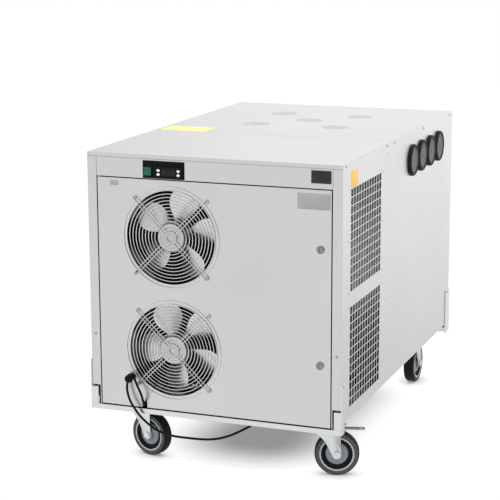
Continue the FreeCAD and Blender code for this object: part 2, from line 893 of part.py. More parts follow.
def lock(name, centre):
    x, z = centre
    cam_y = door_return + lock_cam_clearance
    head = Part.makeCylinder(lock_head_radius, lock_head_height, Vector(x, -lock_head_height, z),
                             Vector(0, 1, 0))
    front = [edge for edge in head.Edges if abs(edge.CenterOfMass.y + lock_head_height) < fit_gap]
    head = head.makeFillet(lock_head_height / 2, front[:1])
    plug = rod((x, 0, z), (0, 1, 0), lock_plug_radius, cam_y)
    cam = box(x - lock_cam_width / 2, x + lock_cam_width / 2, cam_y, cam_y + lock_cam_thick,
              z - lock_cam_length, z + lock_plug_radius)
    slot = box(x - lock_slot_width / 2, x + lock_slot_width / 2, -lock_head_height - overrun,
               -lock_head_height + lock_slot_depth, z - lock_plug_radius, z + lock_plug_radius)
    keep("lock_" + name, fuse([head, plug, cam]).cut(slot))
    points["lock_" + name] = (x, 0, z)


def hook_place():
    return (from_left(hook_left), -hook_ball_reach, top_z - hook_drop)


def cord_hook():
    x, y, z = hook_place()
    ball = Part.makeSphere(hook_ball_radius, Vector(x, y, z))
    neck = rod((x, y, z), (0, 1, 0), hook_neck_radius, -y)
    foot = rod((x, -hook_foot_height, z), (0, 1, 0), hook_foot_radius, hook_foot_height)
    stud = rod((x, -overrun, z), (0, 1, 0), hook_stud_radius, hook_stud_length + overrun)
    keep("cord_hook", fuse([ball, neck, foot, stud]))
    points["hook"] = hook_place()


def python_collars():
    collars = []
    plugs = []
    for y, z in collar_places():
        rim = tube_ring((half_width, y, z), (1, 0, 0), collar_radius, collar_bore, collar_proud)
        sleeve = tube_ring((half_width - collar_sleeve_depth, y, z), (1, 0, 0),
                           collar_sleeve_radius, collar_bore, collar_sleeve_depth)
        collars.append(fuse([rim, sleeve]))
        face = half_width + collar_proud - plug_recess
        disc = rod((face - plug_depth, y, z), (1, 0, 0), collar_bore, plug_depth)
        hole = rod((face - plug_hole_depth, y, z), (1, 0, 0), plug_hole_radius,
                   plug_hole_depth + overrun)
        plugs.append(disc.cut(hole))
    keep("python_collars", collars)
    keep("python_plugs", plugs)


# Places of the side fasteners: distance from the front, drop from the top.
cover_screw_shares = (0.06, 0.90)
lid_screw_shares = (0.04, 0.49, 0.95)
grille_rivet_shares = (0.0, 0.5, 1.0)
bulkhead_rivet_shares = (0.0, 0.33, 0.66, 0.99)


def panel_screws():
    heads = []
    drop = inner_lip / 2
    lid_depth = rear_y - front_cover_depth - seam_gap
    along = [front_cover_depth * share for share in cover_screw_shares]
    along += [front_cover_depth + seam_gap + lid_depth * share for share in lid_screw_shares]
    for side in (-1, 1):
        for y in along:
            heads.append(side_fastener(side, y, top_z - drop, screw_radius, screw_proud, screw_grip))
        gap = (slot_pitch_y + slot_bar_y) / 2
        for drop_top in (upper_grille_drop, lower_grille_drop):
            for y in (grille_front - gap, grille_front + grille_width + gap):
                for share in grille_rivet_shares:
                    z = top_z - drop_top - grille_height * share
                    heads.append(side_fastener(side, y, z, rivet_radius, rivet_proud, 2 * sheet))
        for share in bulkhead_rivet_shares:
            z = top_z - 2 * inner_lip - (lower_grille_drop + grille_height - 2 * inner_lip) * share
            heads.append(side_fastener(side, bulkhead_back - upright_depth * 2, z, rivet_radius,
                                       rivet_proud, 2 * sheet))
        stile_x = side * (half_width - stile_width / 2)
        heads.append(rod((stile_x, -screw_proud, top_z - lower_lock_drop + 2 * inner_lip), (0, 1, 0),
                         screw_radius, screw_proud))
        for y, z in ((upright_depth / 2, base_z + upright_height - screw_radius * 2),
                     (rear_y - rear_upright_depth / 2, base_z + upright_height - screw_radius * 2)):
            heads.append(rod((side * (half_width + upright_thick), y, z), (side, 0, 0),
                             screw_radius, screw_proud))
    keep("panel_screws", heads)


def side_fastener(side, y, z, radius, proud, grip):
    return rod((side * half_width, y, z), (side, 0, 0), radius, proud)


def caster_places():
    x = half_width - caster_side_inset
    return {"front_left": (-x, caster_end_inset), "front_right": (x, caster_end_inset),
            "rear_left": (-x, rear_y - caster_end_inset),
            "rear_right": (x, rear_y - caster_end_inset)}


crown_top = base_z - caster_plate_thick - swivel_gap
crown_bottom = crown_top - crown_height
leg_inside = wheel_width / 2 + leg_gap


def caster_fork():
    pin = rod((0, 0, crown_top - overrun), (0, 0, 1), swivel_pin_radius,
              caster_plate_thick + swivel_gap + overrun - loose_fit)
    crown = Part.makeCone(crown_radius, crown_radius - crown_height / 2, crown_height,
                          Vector(0, 0, crown_bottom))
    yoke = box(-leg_front, caster_trail + leg_back, -leg_inside - leg_thick, leg_inside + leg_thick,
               crown_bottom, crown_bottom + leg_thick)
    tongue = box(caster_trail + leg_back, caster_trail + leg_back + tongue_length,
                 -tongue_width / 2, tongue_width / 2, crown_bottom, crown_bottom + tongue_thick)
    pieces = [pin, crown, yoke, tongue]
    for side in (-1, 1):
        y = leg_inside if side > 0 else -leg_inside - leg_thick
        outline = [(-leg_front, y, crown_bottom), (caster_trail + leg_back, y, crown_bottom),
                   (caster_trail + leg_back, y, wheel_radius - leg_foot / 2),
                   (caster_trail, y, wheel_radius - leg_foot),
                   (caster_trail - leg_back, y, wheel_radius - leg_foot / 2)]
        pieces.append(prism(outline, (0, leg_thick, 0)))
    reach = leg_inside + leg_thick
    pieces.append(rod((caster_trail, -reach, wheel_radius), (0, 1, 0), axle_radius, 2 * reach))
    for side in (-1, 1):
        pieces.append(rod((caster_trail, side * reach, wheel_radius), (0, side, 0),
                          axle_head_radius, axle_head_height))
    return fuse(pieces)


def caster_wheel():
    half = wheel_width / 2
    soft = tyre_corner
    outer = wheel_radius
    corner = soft * (1 - math.sqrt(0.5))
    side_lines = [Vector(rim_radius, 0, -half + rim_edge_inset), Vector(rim_radius, 0, half - rim_edge_inset),
                  Vector(rim_radius + rim_edge, 0, half), Vector(outer - soft, 0, half)]
    edges = [Part.makeLine(a, b) for a, b in zip(side_lines, side_lines[1:])]
    edges.append(Part.Arc(Vector(outer - soft, 0, half), Vector(outer - corner, 0, half - corner),
                          Vector(outer, 0, half - soft)).toShape())
    edges.append(Part.makeLine(Vector(outer, 0, half - soft), Vector(outer, 0, -half + soft)))
    edges.append(Part.Arc(Vector(outer, 0, -half + soft), Vector(outer - corner, 0, -half + corner),
                          Vector(outer - soft, 0, -half)).toShape())
    edges.append(Part.makeLine(Vector(outer - soft, 0, -half), Vector(rim_radius + rim_edge, 0, -half)))
    edges.append(Part.makeLine(Vector(rim_radius + rim_edge, 0, -half),
                               Vector(rim_radius, 0, -half + rim_edge_inset)))
    tyre = Part.Face(Part.Wire(edges)).revolve(Vector(0, 0, 0), Vector(0, 0, 1), 360)
    bore = axle_radius + running_fit
    hub_half = half + leg_gap - hub_end_gap
    barrel = half - rim_edge_inset
    inner = rim_radius - rim_edge
    web = rim_web / 2
    rim = revolve_z([(bore, -hub_half), (rim_hub_radius, -hub_half), (rim_hub_radius, -web), (inner, -web),
                     (inner, -barrel), (rim_radius, -barrel), (rim_radius, barrel), (inner, barrel),
                     (inner, web), (rim_hub_radius, web), (rim_hub_radius, hub_half), (bore, hub_half)])
    pair = []
    for piece in (tyre, rim):
        piece.rotate(Vector(0, 0, 0), Vector(1, 0, 0), 90)
        piece.translate(Vector(caster_trail, 0, wheel_radius))
        pair.append(piece)
    return pair


def brake_pedal():
    high = crown_bottom - pedal_pin_drop + pedal_thick
    low = high - pedal_thick
    pin_z = crown_bottom - pedal_pin_drop
    pin = rod((pedal_pivot, -leg_inside + loose_fit, pin_z), (0, 1, 0), pedal_pin_radius,
              2 * (leg_inside - loose_fit))
    bar = box(pedal_pivot, pedal_eye_reach - pedal_eye_hole, -pedal_width / 2, pedal_width / 2, low, high)
    eye = rod((pedal_eye_reach, 0, low), (0, 0, 1), pedal_eye_radius, pedal_thick)
    hole = rod((pedal_eye_reach, 0, low - overrun), (0, 0, 1), pedal_eye_hole, pedal_thick + 2 * overrun)
    pad = box(pedal_pivot + pedal_pad_reach, pedal_pivot + pedal_pad_reach + pedal_pad_length,
              -pedal_width / 2, pedal_width / 2, low - pedal_pad_drop, low)
    return fuse([pin, bar, eye, pad]).cut(hole)


def casters():
    plates = []
    for name, (x, y) in caster_places().items():
        turn = caster_turns[name]
        fork = caster_fork()
        wheel = caster_wheel()
        for piece in [fork] + wheel:
            piece.rotate(Vector(0, 0, 0), Vector(0, 0, 1), turn)
            piece.translate(Vector(x, y, 0))
        keep("caster_fork_" + name, fork)
        keep("caster_wheel_" + name, wheel)
        angle = math.radians(turn)
        points["swivel_" + name] = (x, y, crown_top)
        points["wheel_" + name] = (x + caster_trail * math.cos(angle),
                                   y + caster_trail * math.sin(angle), wheel_radius)
        plate = box(x - caster_plate_length / 2, x + caster_plate_length / 2,
                    y - caster_plate_width / 2, y + caster_plate_width / 2,
                    base_z - caster_plate_thick, base_z)
        hole = rod((x, y, base_z - caster_plate_thick - overrun), (0, 0, 1),
                   swivel_pin_radius + running_fit, caster_plate_thick + 2 * overrun)
        plate = plate.cut(hole)
        heads = []
        for a in (-1, 1):
            for b in (-1, 1):
                bolt_x = x + a * (caster_plate_length / 2 - caster_bolt_inset)
                bolt_y = y + b * (caster_plate_width / 2 - caster_bolt_inset)
                heads.append(rod((bolt_x, bolt_y, base_z - caster_plate_thick), (0, 0, -1),
                                 caster_bolt_head, caster_bolt_height))
        plates.append(fuse([plate] + heads))
    keep("caster_plates", plates)
    name = "front_right"
    x, y = caster_places()[name]
    pedal = brake_pedal()
    pedal.rotate(Vector(0, 0, 0), Vector(0, 0, 1), caster_turns[name])
    pedal.translate(Vector(x, y, 0))
    keep("brake_pedal", pedal)
    angle = math.radians(caster_turns[name])
    points["pedal"] = (x + pedal_pivot * math.cos(angle), y + pedal_pivot * math.sin(angle),
                       crown_bottom - pedal_pin_drop)


pan_top = side_bottom + pan_sheet
foam_half = half_width - foam_side_gap
foam_front = bulkhead_back + sheet + panel_gap
foam_back = rear_y - foam_side_gap
foam_bottom = pan_top + foam_base_gap
tank_top = top_z - tank_top_drop
tank_half = foam_half - foam_thick
tank_front = foam_front + foam_thick
tank_back = foam_back - foam_thick
tank_bottom = foam_bottom + foam_thick
tank_middle = (tank_front + tank_back) / 2


def drain_height():
    return tank_bottom + drain_rise


def coil_posts():
    floor = tank_bottom + tank_wall / 2
    posts = []
    for x, y in coil_places():
        for side, step in coil_post_steps:
            height = tank_bottom + coil_floor_gap + coil_rise * step / 4 - coil_tube_radius
            posts.append(rod((x, y + side * coil_radius, floor), (0, 0, 1), coil_tube_radius, height - floor))
    return posts


def coil_spacers():
    low = tank_bottom + tank_wall / 2
    high = tank_bottom + evaporator_floor_gap + evaporator_rise * evaporator_turns
    wide = evaporator_tube_radius
    reach = evaporator_wall_gap - evaporator_tube_radius
    bars = []
    for side in (-1, 1):
        wall_x = side * (tank_half - tank_wall / 2)
        bars.append(box(wall_x, side * (tank_half - reach), tank_middle - wide, tank_middle + wide, low, high))
        wall_y = tank_middle + side * (tank_back - tank_middle - tank_wall / 2)
        tube_y = tank_middle + side * (tank_back - tank_middle - reach)
        bars.append(box(-wide, wide, wall_y, tube_y, low, high))
    return bars


def coil_places():
    return [(a * coil_spread_x, tank_middle + b * coil_spread_y) for a in (-1, 1) for b in (-1, 1)]


def water_bath():
    foam = box(-foam_half, foam_half, foam_front, foam_back, foam_bottom, tank_top - tank_wall)
    inside = box(-tank_half, tank_half, tank_front, tank_back, tank_bottom, tank_top)
    drain = rod((drain_right, tank_back - tank_rim, drain_height()), (0, 1, 0),
                drain_radius + loose_fit, foam_thick + 2 * tank_rim)
    keep("tank_insulation", foam.cut(inside).cut(drain))
    rim = box(-tank_half - tank_rim, tank_half + tank_rim, tank_front - tank_rim, tank_back + tank_rim,
              tank_top - tank_wall, tank_top)
    hollow = box(-tank_half + tank_wall, tank_half - tank_wall, tank_front + tank_wall,
                 tank_back - tank_wall, tank_bottom + tank_wall, tank_top + overrun)
    shell = fuse([inside, rim]).cut(hollow).cut(drain)
    keep("water_tank", fuse([shell] + coil_posts() + coil_spacers()))
    pipe_start = tank_back - tank_rim
    pipe = rod((drain_right, pipe_start, drain_height()), (0, 1, 0), drain_radius,
               rear_y + drain_proud - pipe_start)
    bore = rod((drain_right, pipe_start - overrun, drain_height()), (0, 1, 0), drain_bore,
               rear_y + drain_proud - pipe_start + 2 * overrun)
    flange = rod((drain_right, rear_y + fit_gap, drain_height()), (0, 1, 0),
                 drain_flange_radius, drain_flange_thick)
    keep("drain_pipe", fuse([pipe, flange]).cut(bore))
    free_length = drain_proud - drain_flange_thick - fit_gap
    points["drain"] = (drain_right, rear_y + drain_proud - free_length / 2, drain_height())
    print("drain spigot length", free_length)


def beverage_coils():
    coils = []
    corner = coil_radius * math.sqrt(2)
    for x, y in coil_places():
        route = []
        for step in range(4 * coil_turns):
            turn = math.radians(45 + 90 * step)
            route.append((x + corner * math.cos(turn), y + corner * math.sin(turn),
                          tank_bottom + coil_floor_gap + coil_rise * step / 4))
        coils.append(tube(route, coil_tube_radius))
    keep("beverage_coils", coils)


def evaporator():
    half_x = tank_half - evaporator_wall_gap
    front = tank_front + evaporator_wall_gap
    back = tank_back - evaporator_wall_gap
    corners = [(-half_x, front), (half_x, front), (half_x, back), (-half_x, back)]
    route = []
    for step in range(4 * evaporator_turns):
        x, y = corners[step % 4]
        route.append((x, y, tank_bottom + evaporator_floor_gap + evaporator_rise * step / 4))
    keep("evaporator_coil", tube(route, evaporator_tube_radius, evaporator_bend))


def pumps():
    pieces = [box(-bridge_width / 2, bridge_width / 2, tank_front - tank_rim, tank_back + tank_rim,
                  tank_top, tank_top + bridge_thick)]
    deck = tank_top + bridge_thick
    for index in (-2, -1, 1, 2):
        y = tank_middle + index * pump_pitch
        pieces[0] = pieces[0].cut(rod((0, y, tank_top - overrun), (0, 0, 1),
                                      pump_stem_radius + loose_fit, bridge_thick + 2 * overrun))
        can = rod((0, y, deck), (0, 0, 1), pump_radius, pump_height)
        stem = rod((0, y, deck - pump_stem_length), (0, 0, 1), pump_stem_radius,
                   pump_stem_length + overrun)
        head = rod((0, y, deck - pump_stem_length - pump_head_height), (0, 0, 1),
                   pump_head_radius, pump_head_height)
        pieces.append(fuse([can, stem, head]))
    shaft_hole = rod((0, tank_middle, deck - bridge_thick - overrun), (0, 0, 1),
                     agitator_shaft_radius + running_fit, bridge_thick + agitator_bush + 2 * overrun)
    motor = rod((0, tank_middle, deck), (0, 0, 1), pump_radius, pump_height)
    pieces[0] = pieces[0].cut(shaft_hole)
    pieces.append(motor.cut(shaft_hole))
    keep("circulation_pumps", pieces)
    shaft = rod((0, tank_middle, deck + agitator_bush - agitator_length), (0, 0, 1),
                agitator_shaft_radius, agitator_length)
    blades = [shaft]
    low = deck + agitator_bush - agitator_length + agitator_blade_width
    for turn in (0, 120, 240):
        blade = box(0, agitator_blade_length, -agitator_blade_thick / 2, agitator_blade_thick / 2,
                    -agitator_blade_width / 2, agitator_blade_width / 2)
        blade.rotate(Vector(0, 0, 0), Vector(1, 0, 0), agitator_tilt)
        blade.rotate(Vector(0, 0, 0), Vector(0, 0, 1), turn)
        blade.translate(Vector(0, tank_middle, low))
        blades.append(blade)
    keep("agitator_rotor", fuse(blades))
    points["agitator"] = (0.0, tank_middle, deck)


def bulkhead():
    edge = half_width - 2 * sheet - fit_gap
    plate = box(-edge, edge, bulkhead_back, bulkhead_back + sheet, pan_top, panel_top - inner_lip)
    foot = box(-edge, edge, bulkhead_back - inner_lip, bulkhead_back, pan_top, pan_top + sheet)
    holes = [rod((x, bulkhead_back - overrun, z), (0, 1, 0), line_radius + fit_gap,
                 sheet + 2 * overrun) for x, z in (suction_pass(), liquid_pass())]
    keep("bulkhead", fuse([plate, foot]).cut(Part.makeCompound(holes)))


def suction_pass():
    return (compressor_right, tank_top + inner_lip)


def liquid_pass():
    return (compressor_right - compressor_radius * 2, tank_top + inner_lip)


def compressor():
    dome = compressor_dome
    high = foot_height + base_plate_thick
    shell = revolve_z([(0, high), (compressor_radius - dome, high), (compressor_radius, high + dome),
                       (compressor_radius, high + compressor_height - dome),
                       (compressor_radius - dome, high + compressor_height),
                       (0, high + compressor_height)])
    plate = box(-foot_spread - foot_radius, foot_spread + foot_radius, -foot_spread - foot_radius,
                foot_spread + foot_radius, foot_height, foot_height + base_plate_thick)
    pieces = [fuse([shell, plate])]
    for a in (-1, 1):
        for b in (-1, 1):
            pieces.append(rod((a * foot_spread, b * foot_spread, 0), (0, 0, 1), foot_radius, foot_height))
    for piece in pieces:
        piece.translate(Vector(compressor_right, compressor_back, pan_top))
    keep("compressor", pieces)


def condenser():
    low = pan_top + condenser_base_gap
    high = top_z - condenser_top_drop
    right = condenser_left + condenser_width
    back = condenser_front + condenser_depth
    cheeks = [box(x, x + condenser_cheek, condenser_front, back, pan_top, high)
              for x in (condenser_left, right - condenser_cheek)]
    pieces = list(cheeks)
    pitch = (condenser_width - condenser_cheek) / (condenser_fins + 1)
    for index in range(1, condenser_fins + 1):
        x = condenser_left + index * pitch
        pieces.append(box(x, x + condenser_fin_thick, condenser_front + fit_gap, back - fit_gap, low, high))
    for index in range(condenser_rows):
        z = low + (high - low) * (index + 0.5) / condenser_rows
        for y in (condenser_front + condenser_depth / 4, back - condenser_depth / 4):
            pieces.append(rod((condenser_left - condenser_cheek, y, z), (1, 0, 0), condenser_tube_radius,
                              condenser_width + 2 * condenser_cheek))
    keep("condenser", fuse(pieces))


def refrigerant():
    low = pan_top + condenser_base_gap
    shell_top = pan_top + foot_height + base_plate_thick + compressor_height
    drier_x = compressor_right - compressor_radius - drier_radius * drier_clear_share
    drier_low = pan_top + compressor_height
    drier = rod((drier_x, compressor_back, drier_low), (0, 0, 1), drier_radius, drier_length)
    cones = [Part.makeCone(drier_radius, line_radius, drier_radius,
                           Vector(drier_x, compressor_back, drier_low + drier_length), Vector(0, 0, 1)),
             Part.makeCone(drier_radius, line_radius, drier_radius,
                           Vector(drier_x, compressor_back, drier_low), Vector(0, 0, -1))]
    condenser_right = condenser_left + condenser_width + condenser_cheek
    tube_y = condenser_front + condenser_depth - condenser_depth / 4
    row = (top_z - condenser_top_drop - low) / condenser_rows
    hot_z = low + row * (condenser_rows - 0.5)
    cold_z = low + row * 0.5
    discharge = tube([(compressor_right, compressor_back, shell_top),
                      (compressor_right, compressor_back, hot_z),
                      (compressor_right - compressor_radius, compressor_back - compressor_radius, hot_z),
                      (compressor_right - compressor_radius, tube_y, hot_z),
                      (condenser_right, tube_y, hot_z)], line_radius, line_bend)
    drier_top = drier_low + drier_length + drier_radius
    liquid = tube([(condenser_right, tube_y, cold_z), (drier_x, tube_y, cold_z),
                   (drier_x, compressor_back, cold_z + line_bend),
                   (drier_x, compressor_back, drier_low - drier_radius)], line_radius, line_bend)
    passing = liquid_pass()
    feed = tube([(drier_x, compressor_back, drier_top), (drier_x, compressor_back, passing[1]),
                 (passing[0], (compressor_back + bulkhead_back) / 2, passing[1]),
                 (passing[0], tank_front + tank_rim, passing[1])], line_radius, line_bend)
    suction_x = compressor_right + compressor_radius / 2
    passing = suction_pass()
    suction = tube([(passing[0], tank_front + tank_rim, passing[1]),
                    (passing[0], bulkhead_back - line_bend * 2, passing[1]),
                    (suction_x, compressor_back + compressor_radius / 4, passing[1]),
                    (suction_x, compressor_back + compressor_radius / 4, shell_top)],
                   line_radius, line_bend)
    keep("refrigerant_lines", [fuse([drier] + cones), discharge, liquid, feed, suction])


def electrical_box():
    high = top_z - box_drop
    case = box(box_left, box_left + box_width, bulkhead_back - box_depth, bulkhead_back,
               high - box_height, high)
    keep("electrical_box", case.makeFillet(panel_gap, [edge for edge in case.Edges
                                                      if abs(edge.CenterOfMass.y - bulkhead_back
                                                             + box_depth) < fit_gap]))


def gland_place():
    return Vector(from_left(gland_left), gland_back, base_z + gland_rise)


def gland_way():
    tilt = math.radians(gland_tilt)
    return Vector(0, -math.cos(tilt), math.sin(tilt))


def cord_gland():
    start = gland_place()
    way = gland_way()
    sleeve = Part.makeCone(gland_radius, cord_radius * gland_tip_share, gland_length, start, way)
    foot = box(start.x - gland_foot / 2, start.x + gland_foot / 2, start.y - gland_foot / 2,
               start.y + gland_foot, base_z + rail_height, start.z)
    keep("cord_gland", fuse([sleeve, foot]))


# Stops of the mains lead: from the gland up to the hook, hanging from the hook to the cabinet's
# underside, and back under the floor pan and down to the floor.
cord_front = [(-200.5, -18.5, 202.5), (-203.5, -21.5, 218.0), (-213.0, -20.0, 235.0),
              (-224.5, -15.5, 255.0)]
cord_hanging = [(-247.0, -12.0, 250.0), (-248.8, -15.0, 233.0), (-246.0, -17.0, 214.0),
                (-238.5, -18.0, 194.0), (-226.0, -17.0, 173.0), (-209.0, -14.5, 150.0),
                (-185.5, -11.0, 128.5), (-156.0, -6.5, 110.0), (-120.0, -1.5, 101.0),
                (-82.0, 2.5, 99.5), (-42.0, 6.5, 98.5), (-2.0, 11.5, 101.0),
                (38.0, 18.0, 113.0), (74.0, 26.0, 132.0)]
cord_under = [(104.0, 44.0, 149.0), (124.0, 74.0, 163.0), (134.0, 112.0, 171.5),
              (138.5, 160.0, 175.0), (136.5, 215.0, 176.0), (139.0, 270.0, 175.5),
              (136.5, 325.0, 176.0), (138.5, 378.0, 173.0), (137.0, 418.0, 158.0),
              (138.0, 440.0, 125.0), (136.5, 449.0, 85.0), (138.0, 460.0, 47.0),
              (137.5, 482.0, 17.0), (138.5, 516.0, 4.2)]
cord_on_floor = [(138.0, 556.0), (138.0, 590.0)]


def cord_route():
    hook_x, hook_y, hook_z = hook_place()
    wrap = hook_neck_radius + cord_radius + cord_wrap_gap
    wrap_y = hook_y + hook_ball_radius + cord_radius + overrun / 4
    mouth = gland_place() + gland_way() * gland_length
    front = [tuple(mouth), tuple(mouth + gland_way() * cord_start_run)] + cord_front
    around = [(hook_x + wrap, wrap_y, hook_z + wrap), (hook_x - wrap, wrap_y, hook_z + wrap)]
    on_floor = [(x, y, cord_radius + floor_gap) for x, y in cord_on_floor]
    return front + around + cord_hanging + cord_under + on_floor


def biarc(start, way_in, end, way_out):
    chord = end - start
    total = way_in + way_out
    spread = 2 * (1 - way_in.dot(way_out))
    if abs(spread) < tiny:
        reach = chord.dot(chord) / (4 * chord.dot(way_out))
    else:
        along = chord.dot(total)
        reach = (-along + math.sqrt(along ** 2 + spread * chord.dot(chord))) / spread
    joint = (start + way_in * reach + end - way_out * reach) * 0.5
    return [tangent_arc(start, way_in, joint), tangent_arc(end, way_out * -1, joint)]


def tangent_arc(start, way, end):
    chord = end - start
    side = chord - way * chord.dot(way)
    if side.Length < tiny:
        return Part.LineSegment(start, end).toShape()
    side.normalize()
    radius = chord.dot(chord) / (2 * chord.dot(side))
    centre = start + side * radius
    bulge = (start + end) * 0.5 - centre
    turn = 1 if way.dot(bulge) > 0 or bulge.dot(start - centre) > 0 else -1
    middle = centre + bulge.normalize() * (radius * turn)
    return Part.Arc(start, middle, end).toShape()


def coil_stop(turns):
    # Turns counts from the start: in along the floor, up a layer in half a turn, and out again.
    going_in = coil_loops - coil_quarter
    inner = coil_outer - coil_step * going_in
    low = cord_radius + floor_gap
    if turns <= going_in:
        radius = coil_outer - coil_step * turns
        height = low
    elif turns <= going_in + coil_climb:
        radius = inner
        height = low + coil_layer * (turns - going_in) / coil_climb
    else:
        radius = inner + coil_step * (turns - going_in - coil_climb)
        height = low + coil_layer
    angle = 2 * math.pi * turns
    start = cord_route()[-1]
    centre_x = start[0] - coil_outer
    return Vector(centre_x + radius * math.cos(angle), start[1] + radius * math.sin(angle), height)


coil_probe = 0.002


def coil_way(turns):
    if turns < coil_probe:
        return Vector(0, 1, 0)
    way = coil_stop(turns + coil_probe) - coil_stop(turns - coil_probe)
    level = Vector(way.x, way.y, 0)
    return level.normalize()


def mains_lead():
    route = cord_route()
    keep("mains_cord", tube(route, cord_radius, None, "mains cord"))
    total = 2 * coil_loops
    stops = [index * coil_quarter for index in range(int(total / coil_quarter) + 1)]
    edges = []
    for first, last in zip(stops, stops[1:]):
        edges += biarc(coil_stop(first), coil_way(first), coil_stop(last), coil_way(last))
    end = coil_stop(total)
    way = coil_way(total)
    plug_height = plug_radius + floor_gap
    tail = end + way * coil_lead + Vector(0, 0, plug_height - end.z)
    edges += biarc(end, way, tail, way)
    path = Part.Wire(edges)
    start = coil_stop(0)
    ring = Part.Wire(Part.Circle(start, Vector(0, 1, 0), cord_radius).toShape())
    solid = path.makePipeShell([ring], True, False)
    print("coil length", round(path.Length, 1), "volume ratio",
          round(solid.Volume / (math.pi * cord_radius ** 2 * path.Length), 4),
          "turn gap", coil_step - 2 * cord_radius, "layer gap", coil_layer - 2 * cord_radius)
    keep("mains_cord_coil", solid)
    plug(tail, way)
    points["cord_exit"] = route[0]


def plug(start, way):
    neck_end = plug_neck_length
    body_end = neck_end + plug_length
    profile = [(0, 0), (cord_radius * plug_tip_share, 0), (plug_neck_radius, neck_end)]
    profile += [(plug_radius * wide, neck_end + plug_length * along) for along, wide in plug_shares]
    profile += [(plug_radius, body_end), (0, body_end)]
    body = revolve_z(profile)
    pins = [rod((side * plug_pin_spread / 2, 0, body_end), (0, 0, 1), plug_pin_radius, plug_pin_length)
            for side in (-1, 1)]
    pieces = [body] + pins
    turn = FreeCAD.Rotation(Vector(0, 0, 1), way)
    place = FreeCAD.Placement(start, turn)
    keep("mains_plug", [piece.transformGeometry(place.toMatrix()) for piece in pieces])


def cord_clips():
    clips = []
    route = [Vector(*stop) for stop in cord_route()]
    for index in clip_runs:
        before, after = route[index], route[index + 1]
        middle = (before + after) * 0.5
        way = (after - before).normalize()
        start = middle - way * (clip_width / 2)
        outer = rod(tuple(start), tuple(way), cord_radius + clip_thick, clip_width)
        wall = cord_radius + clip_thick
        strap = box(middle.x - wall, middle.x + wall, middle.y - clip_width / 2,
                    middle.y + clip_width / 2, middle.z, side_bottom)
        foot = box(middle.x - wall - clip_width, middle.x, middle.y - clip_width / 2,
                   middle.y + clip_width / 2, side_bottom - clip_thick, side_bottom)
        bore = rod(tuple(start - way * clip_width), tuple(way), cord_radius + cord_wrap_gap,
                   3 * clip_width)
        clips.append(fuse([outer, strap, foot]).cut(bore))
    keep("cord_clips", clips)


def build():
    base_frame()
    corner_uprights()
    floor_pan()
    front_stiles()
    keep("side_panel_left", side_panel(-1))
    keep("side_panel_right", side_panel(1))
    rear_panel()
    front_cover()
    rear_lid()
    fascia()
    control_plate()
    thermostat()
    rocker_switch()
    front_door()
    screws = []
    motors = []
    for name, centre in fan_places().items():
        screws += fan_guard(name, centre)
        motors.append(fan_motor(centre))
        fan_rotor(name, centre)
    keep("guard_screws", screws)
    keep("fan_motors", motors)
    for name, centre in lock_places().items():
        lock(name, centre)
    cord_hook()
    python_collars()
    panel_screws()
    casters()
    water_bath()
    beverage_coils()
    evaporator()
    pumps()
    bulkhead()
    compressor()
    condenser()
    refrigerant()
    electrical_box()
    cord_gland()
    cord_clips()
    mains_lead()


def write_parts():
    cord = ("mains_cord", "mains_cord_coil", "mains_plug")
    bounds = FreeCAD.BoundBox()
    for name, shapes in nodes.items():
        if name not in cord:
            bounds.add(Part.makeCompound(shapes).BoundBox)
    shift = Vector(-(bounds.XMin + bounds.XMax) / 2, -(bounds.YMin + bounds.YMax) / 2, 0)
    print("shift", round(shift.x, 4), round(shift.y, 4), "low", round(bounds.ZMin, 4))
    for name, shapes in nodes.items():
        moved = [shape.copy() for shape in shapes]
        for shape in moved:
            shape.translate(shift)
        whole = moved[0] if len(moved) == 1 else Part.makeCompound(moved)
        whole.exportStep("parts/" + name + ".step")
    for name, place in points.items():
        print("point", name, *[round(value, 5) for value in (place[0] + shift.x, place[1] + shift.y,
                                                            place[2])])
    print("nodes", len(nodes))


build()
write_parts()
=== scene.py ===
import json
import math
import bmesh
import bpy
import numpy as np
from mathutils import Matrix, Vector


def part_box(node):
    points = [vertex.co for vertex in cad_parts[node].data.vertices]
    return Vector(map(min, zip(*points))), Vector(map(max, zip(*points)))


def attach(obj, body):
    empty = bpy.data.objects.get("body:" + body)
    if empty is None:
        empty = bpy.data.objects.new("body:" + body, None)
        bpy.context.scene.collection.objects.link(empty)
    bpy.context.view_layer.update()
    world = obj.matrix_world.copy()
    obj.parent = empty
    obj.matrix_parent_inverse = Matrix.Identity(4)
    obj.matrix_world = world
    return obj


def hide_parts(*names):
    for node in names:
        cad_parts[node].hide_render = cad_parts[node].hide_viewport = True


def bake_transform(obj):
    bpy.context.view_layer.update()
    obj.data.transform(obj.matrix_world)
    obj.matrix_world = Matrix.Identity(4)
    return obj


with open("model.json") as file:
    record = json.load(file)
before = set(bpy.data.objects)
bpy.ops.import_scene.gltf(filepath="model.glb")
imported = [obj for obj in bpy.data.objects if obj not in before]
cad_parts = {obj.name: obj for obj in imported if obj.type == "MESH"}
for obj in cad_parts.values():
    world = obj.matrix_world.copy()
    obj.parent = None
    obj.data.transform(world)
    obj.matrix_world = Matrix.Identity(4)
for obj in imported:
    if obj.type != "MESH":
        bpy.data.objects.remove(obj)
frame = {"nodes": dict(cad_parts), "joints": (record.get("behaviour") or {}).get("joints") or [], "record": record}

print("frame loaded")
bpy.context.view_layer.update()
nodes = frame["nodes"]
bodyOf = {node: body for body, held in frame["record"]["behaviour"]["bodies"].items() for node in held}
slotOf = {part["node"]: part["material_slot"] for part in frame["record"]["subparts"]}

# The cabinet's own measuring point: the middle of its width, its front face and the floor.
coverLow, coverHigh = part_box("front_cover")
middleX = (coverLow.x + coverHigh.x) / 2
frontY = coverLow.y
cabinet = {"width": 0.720, "depth": 1.148, "bottom": 0.157, "top": 0.874}


def at(x, y, z):
    # Metres from the cabinet's measuring point, moved into the shared frame.
    return np.array([x + middleX, y + frontY, z])


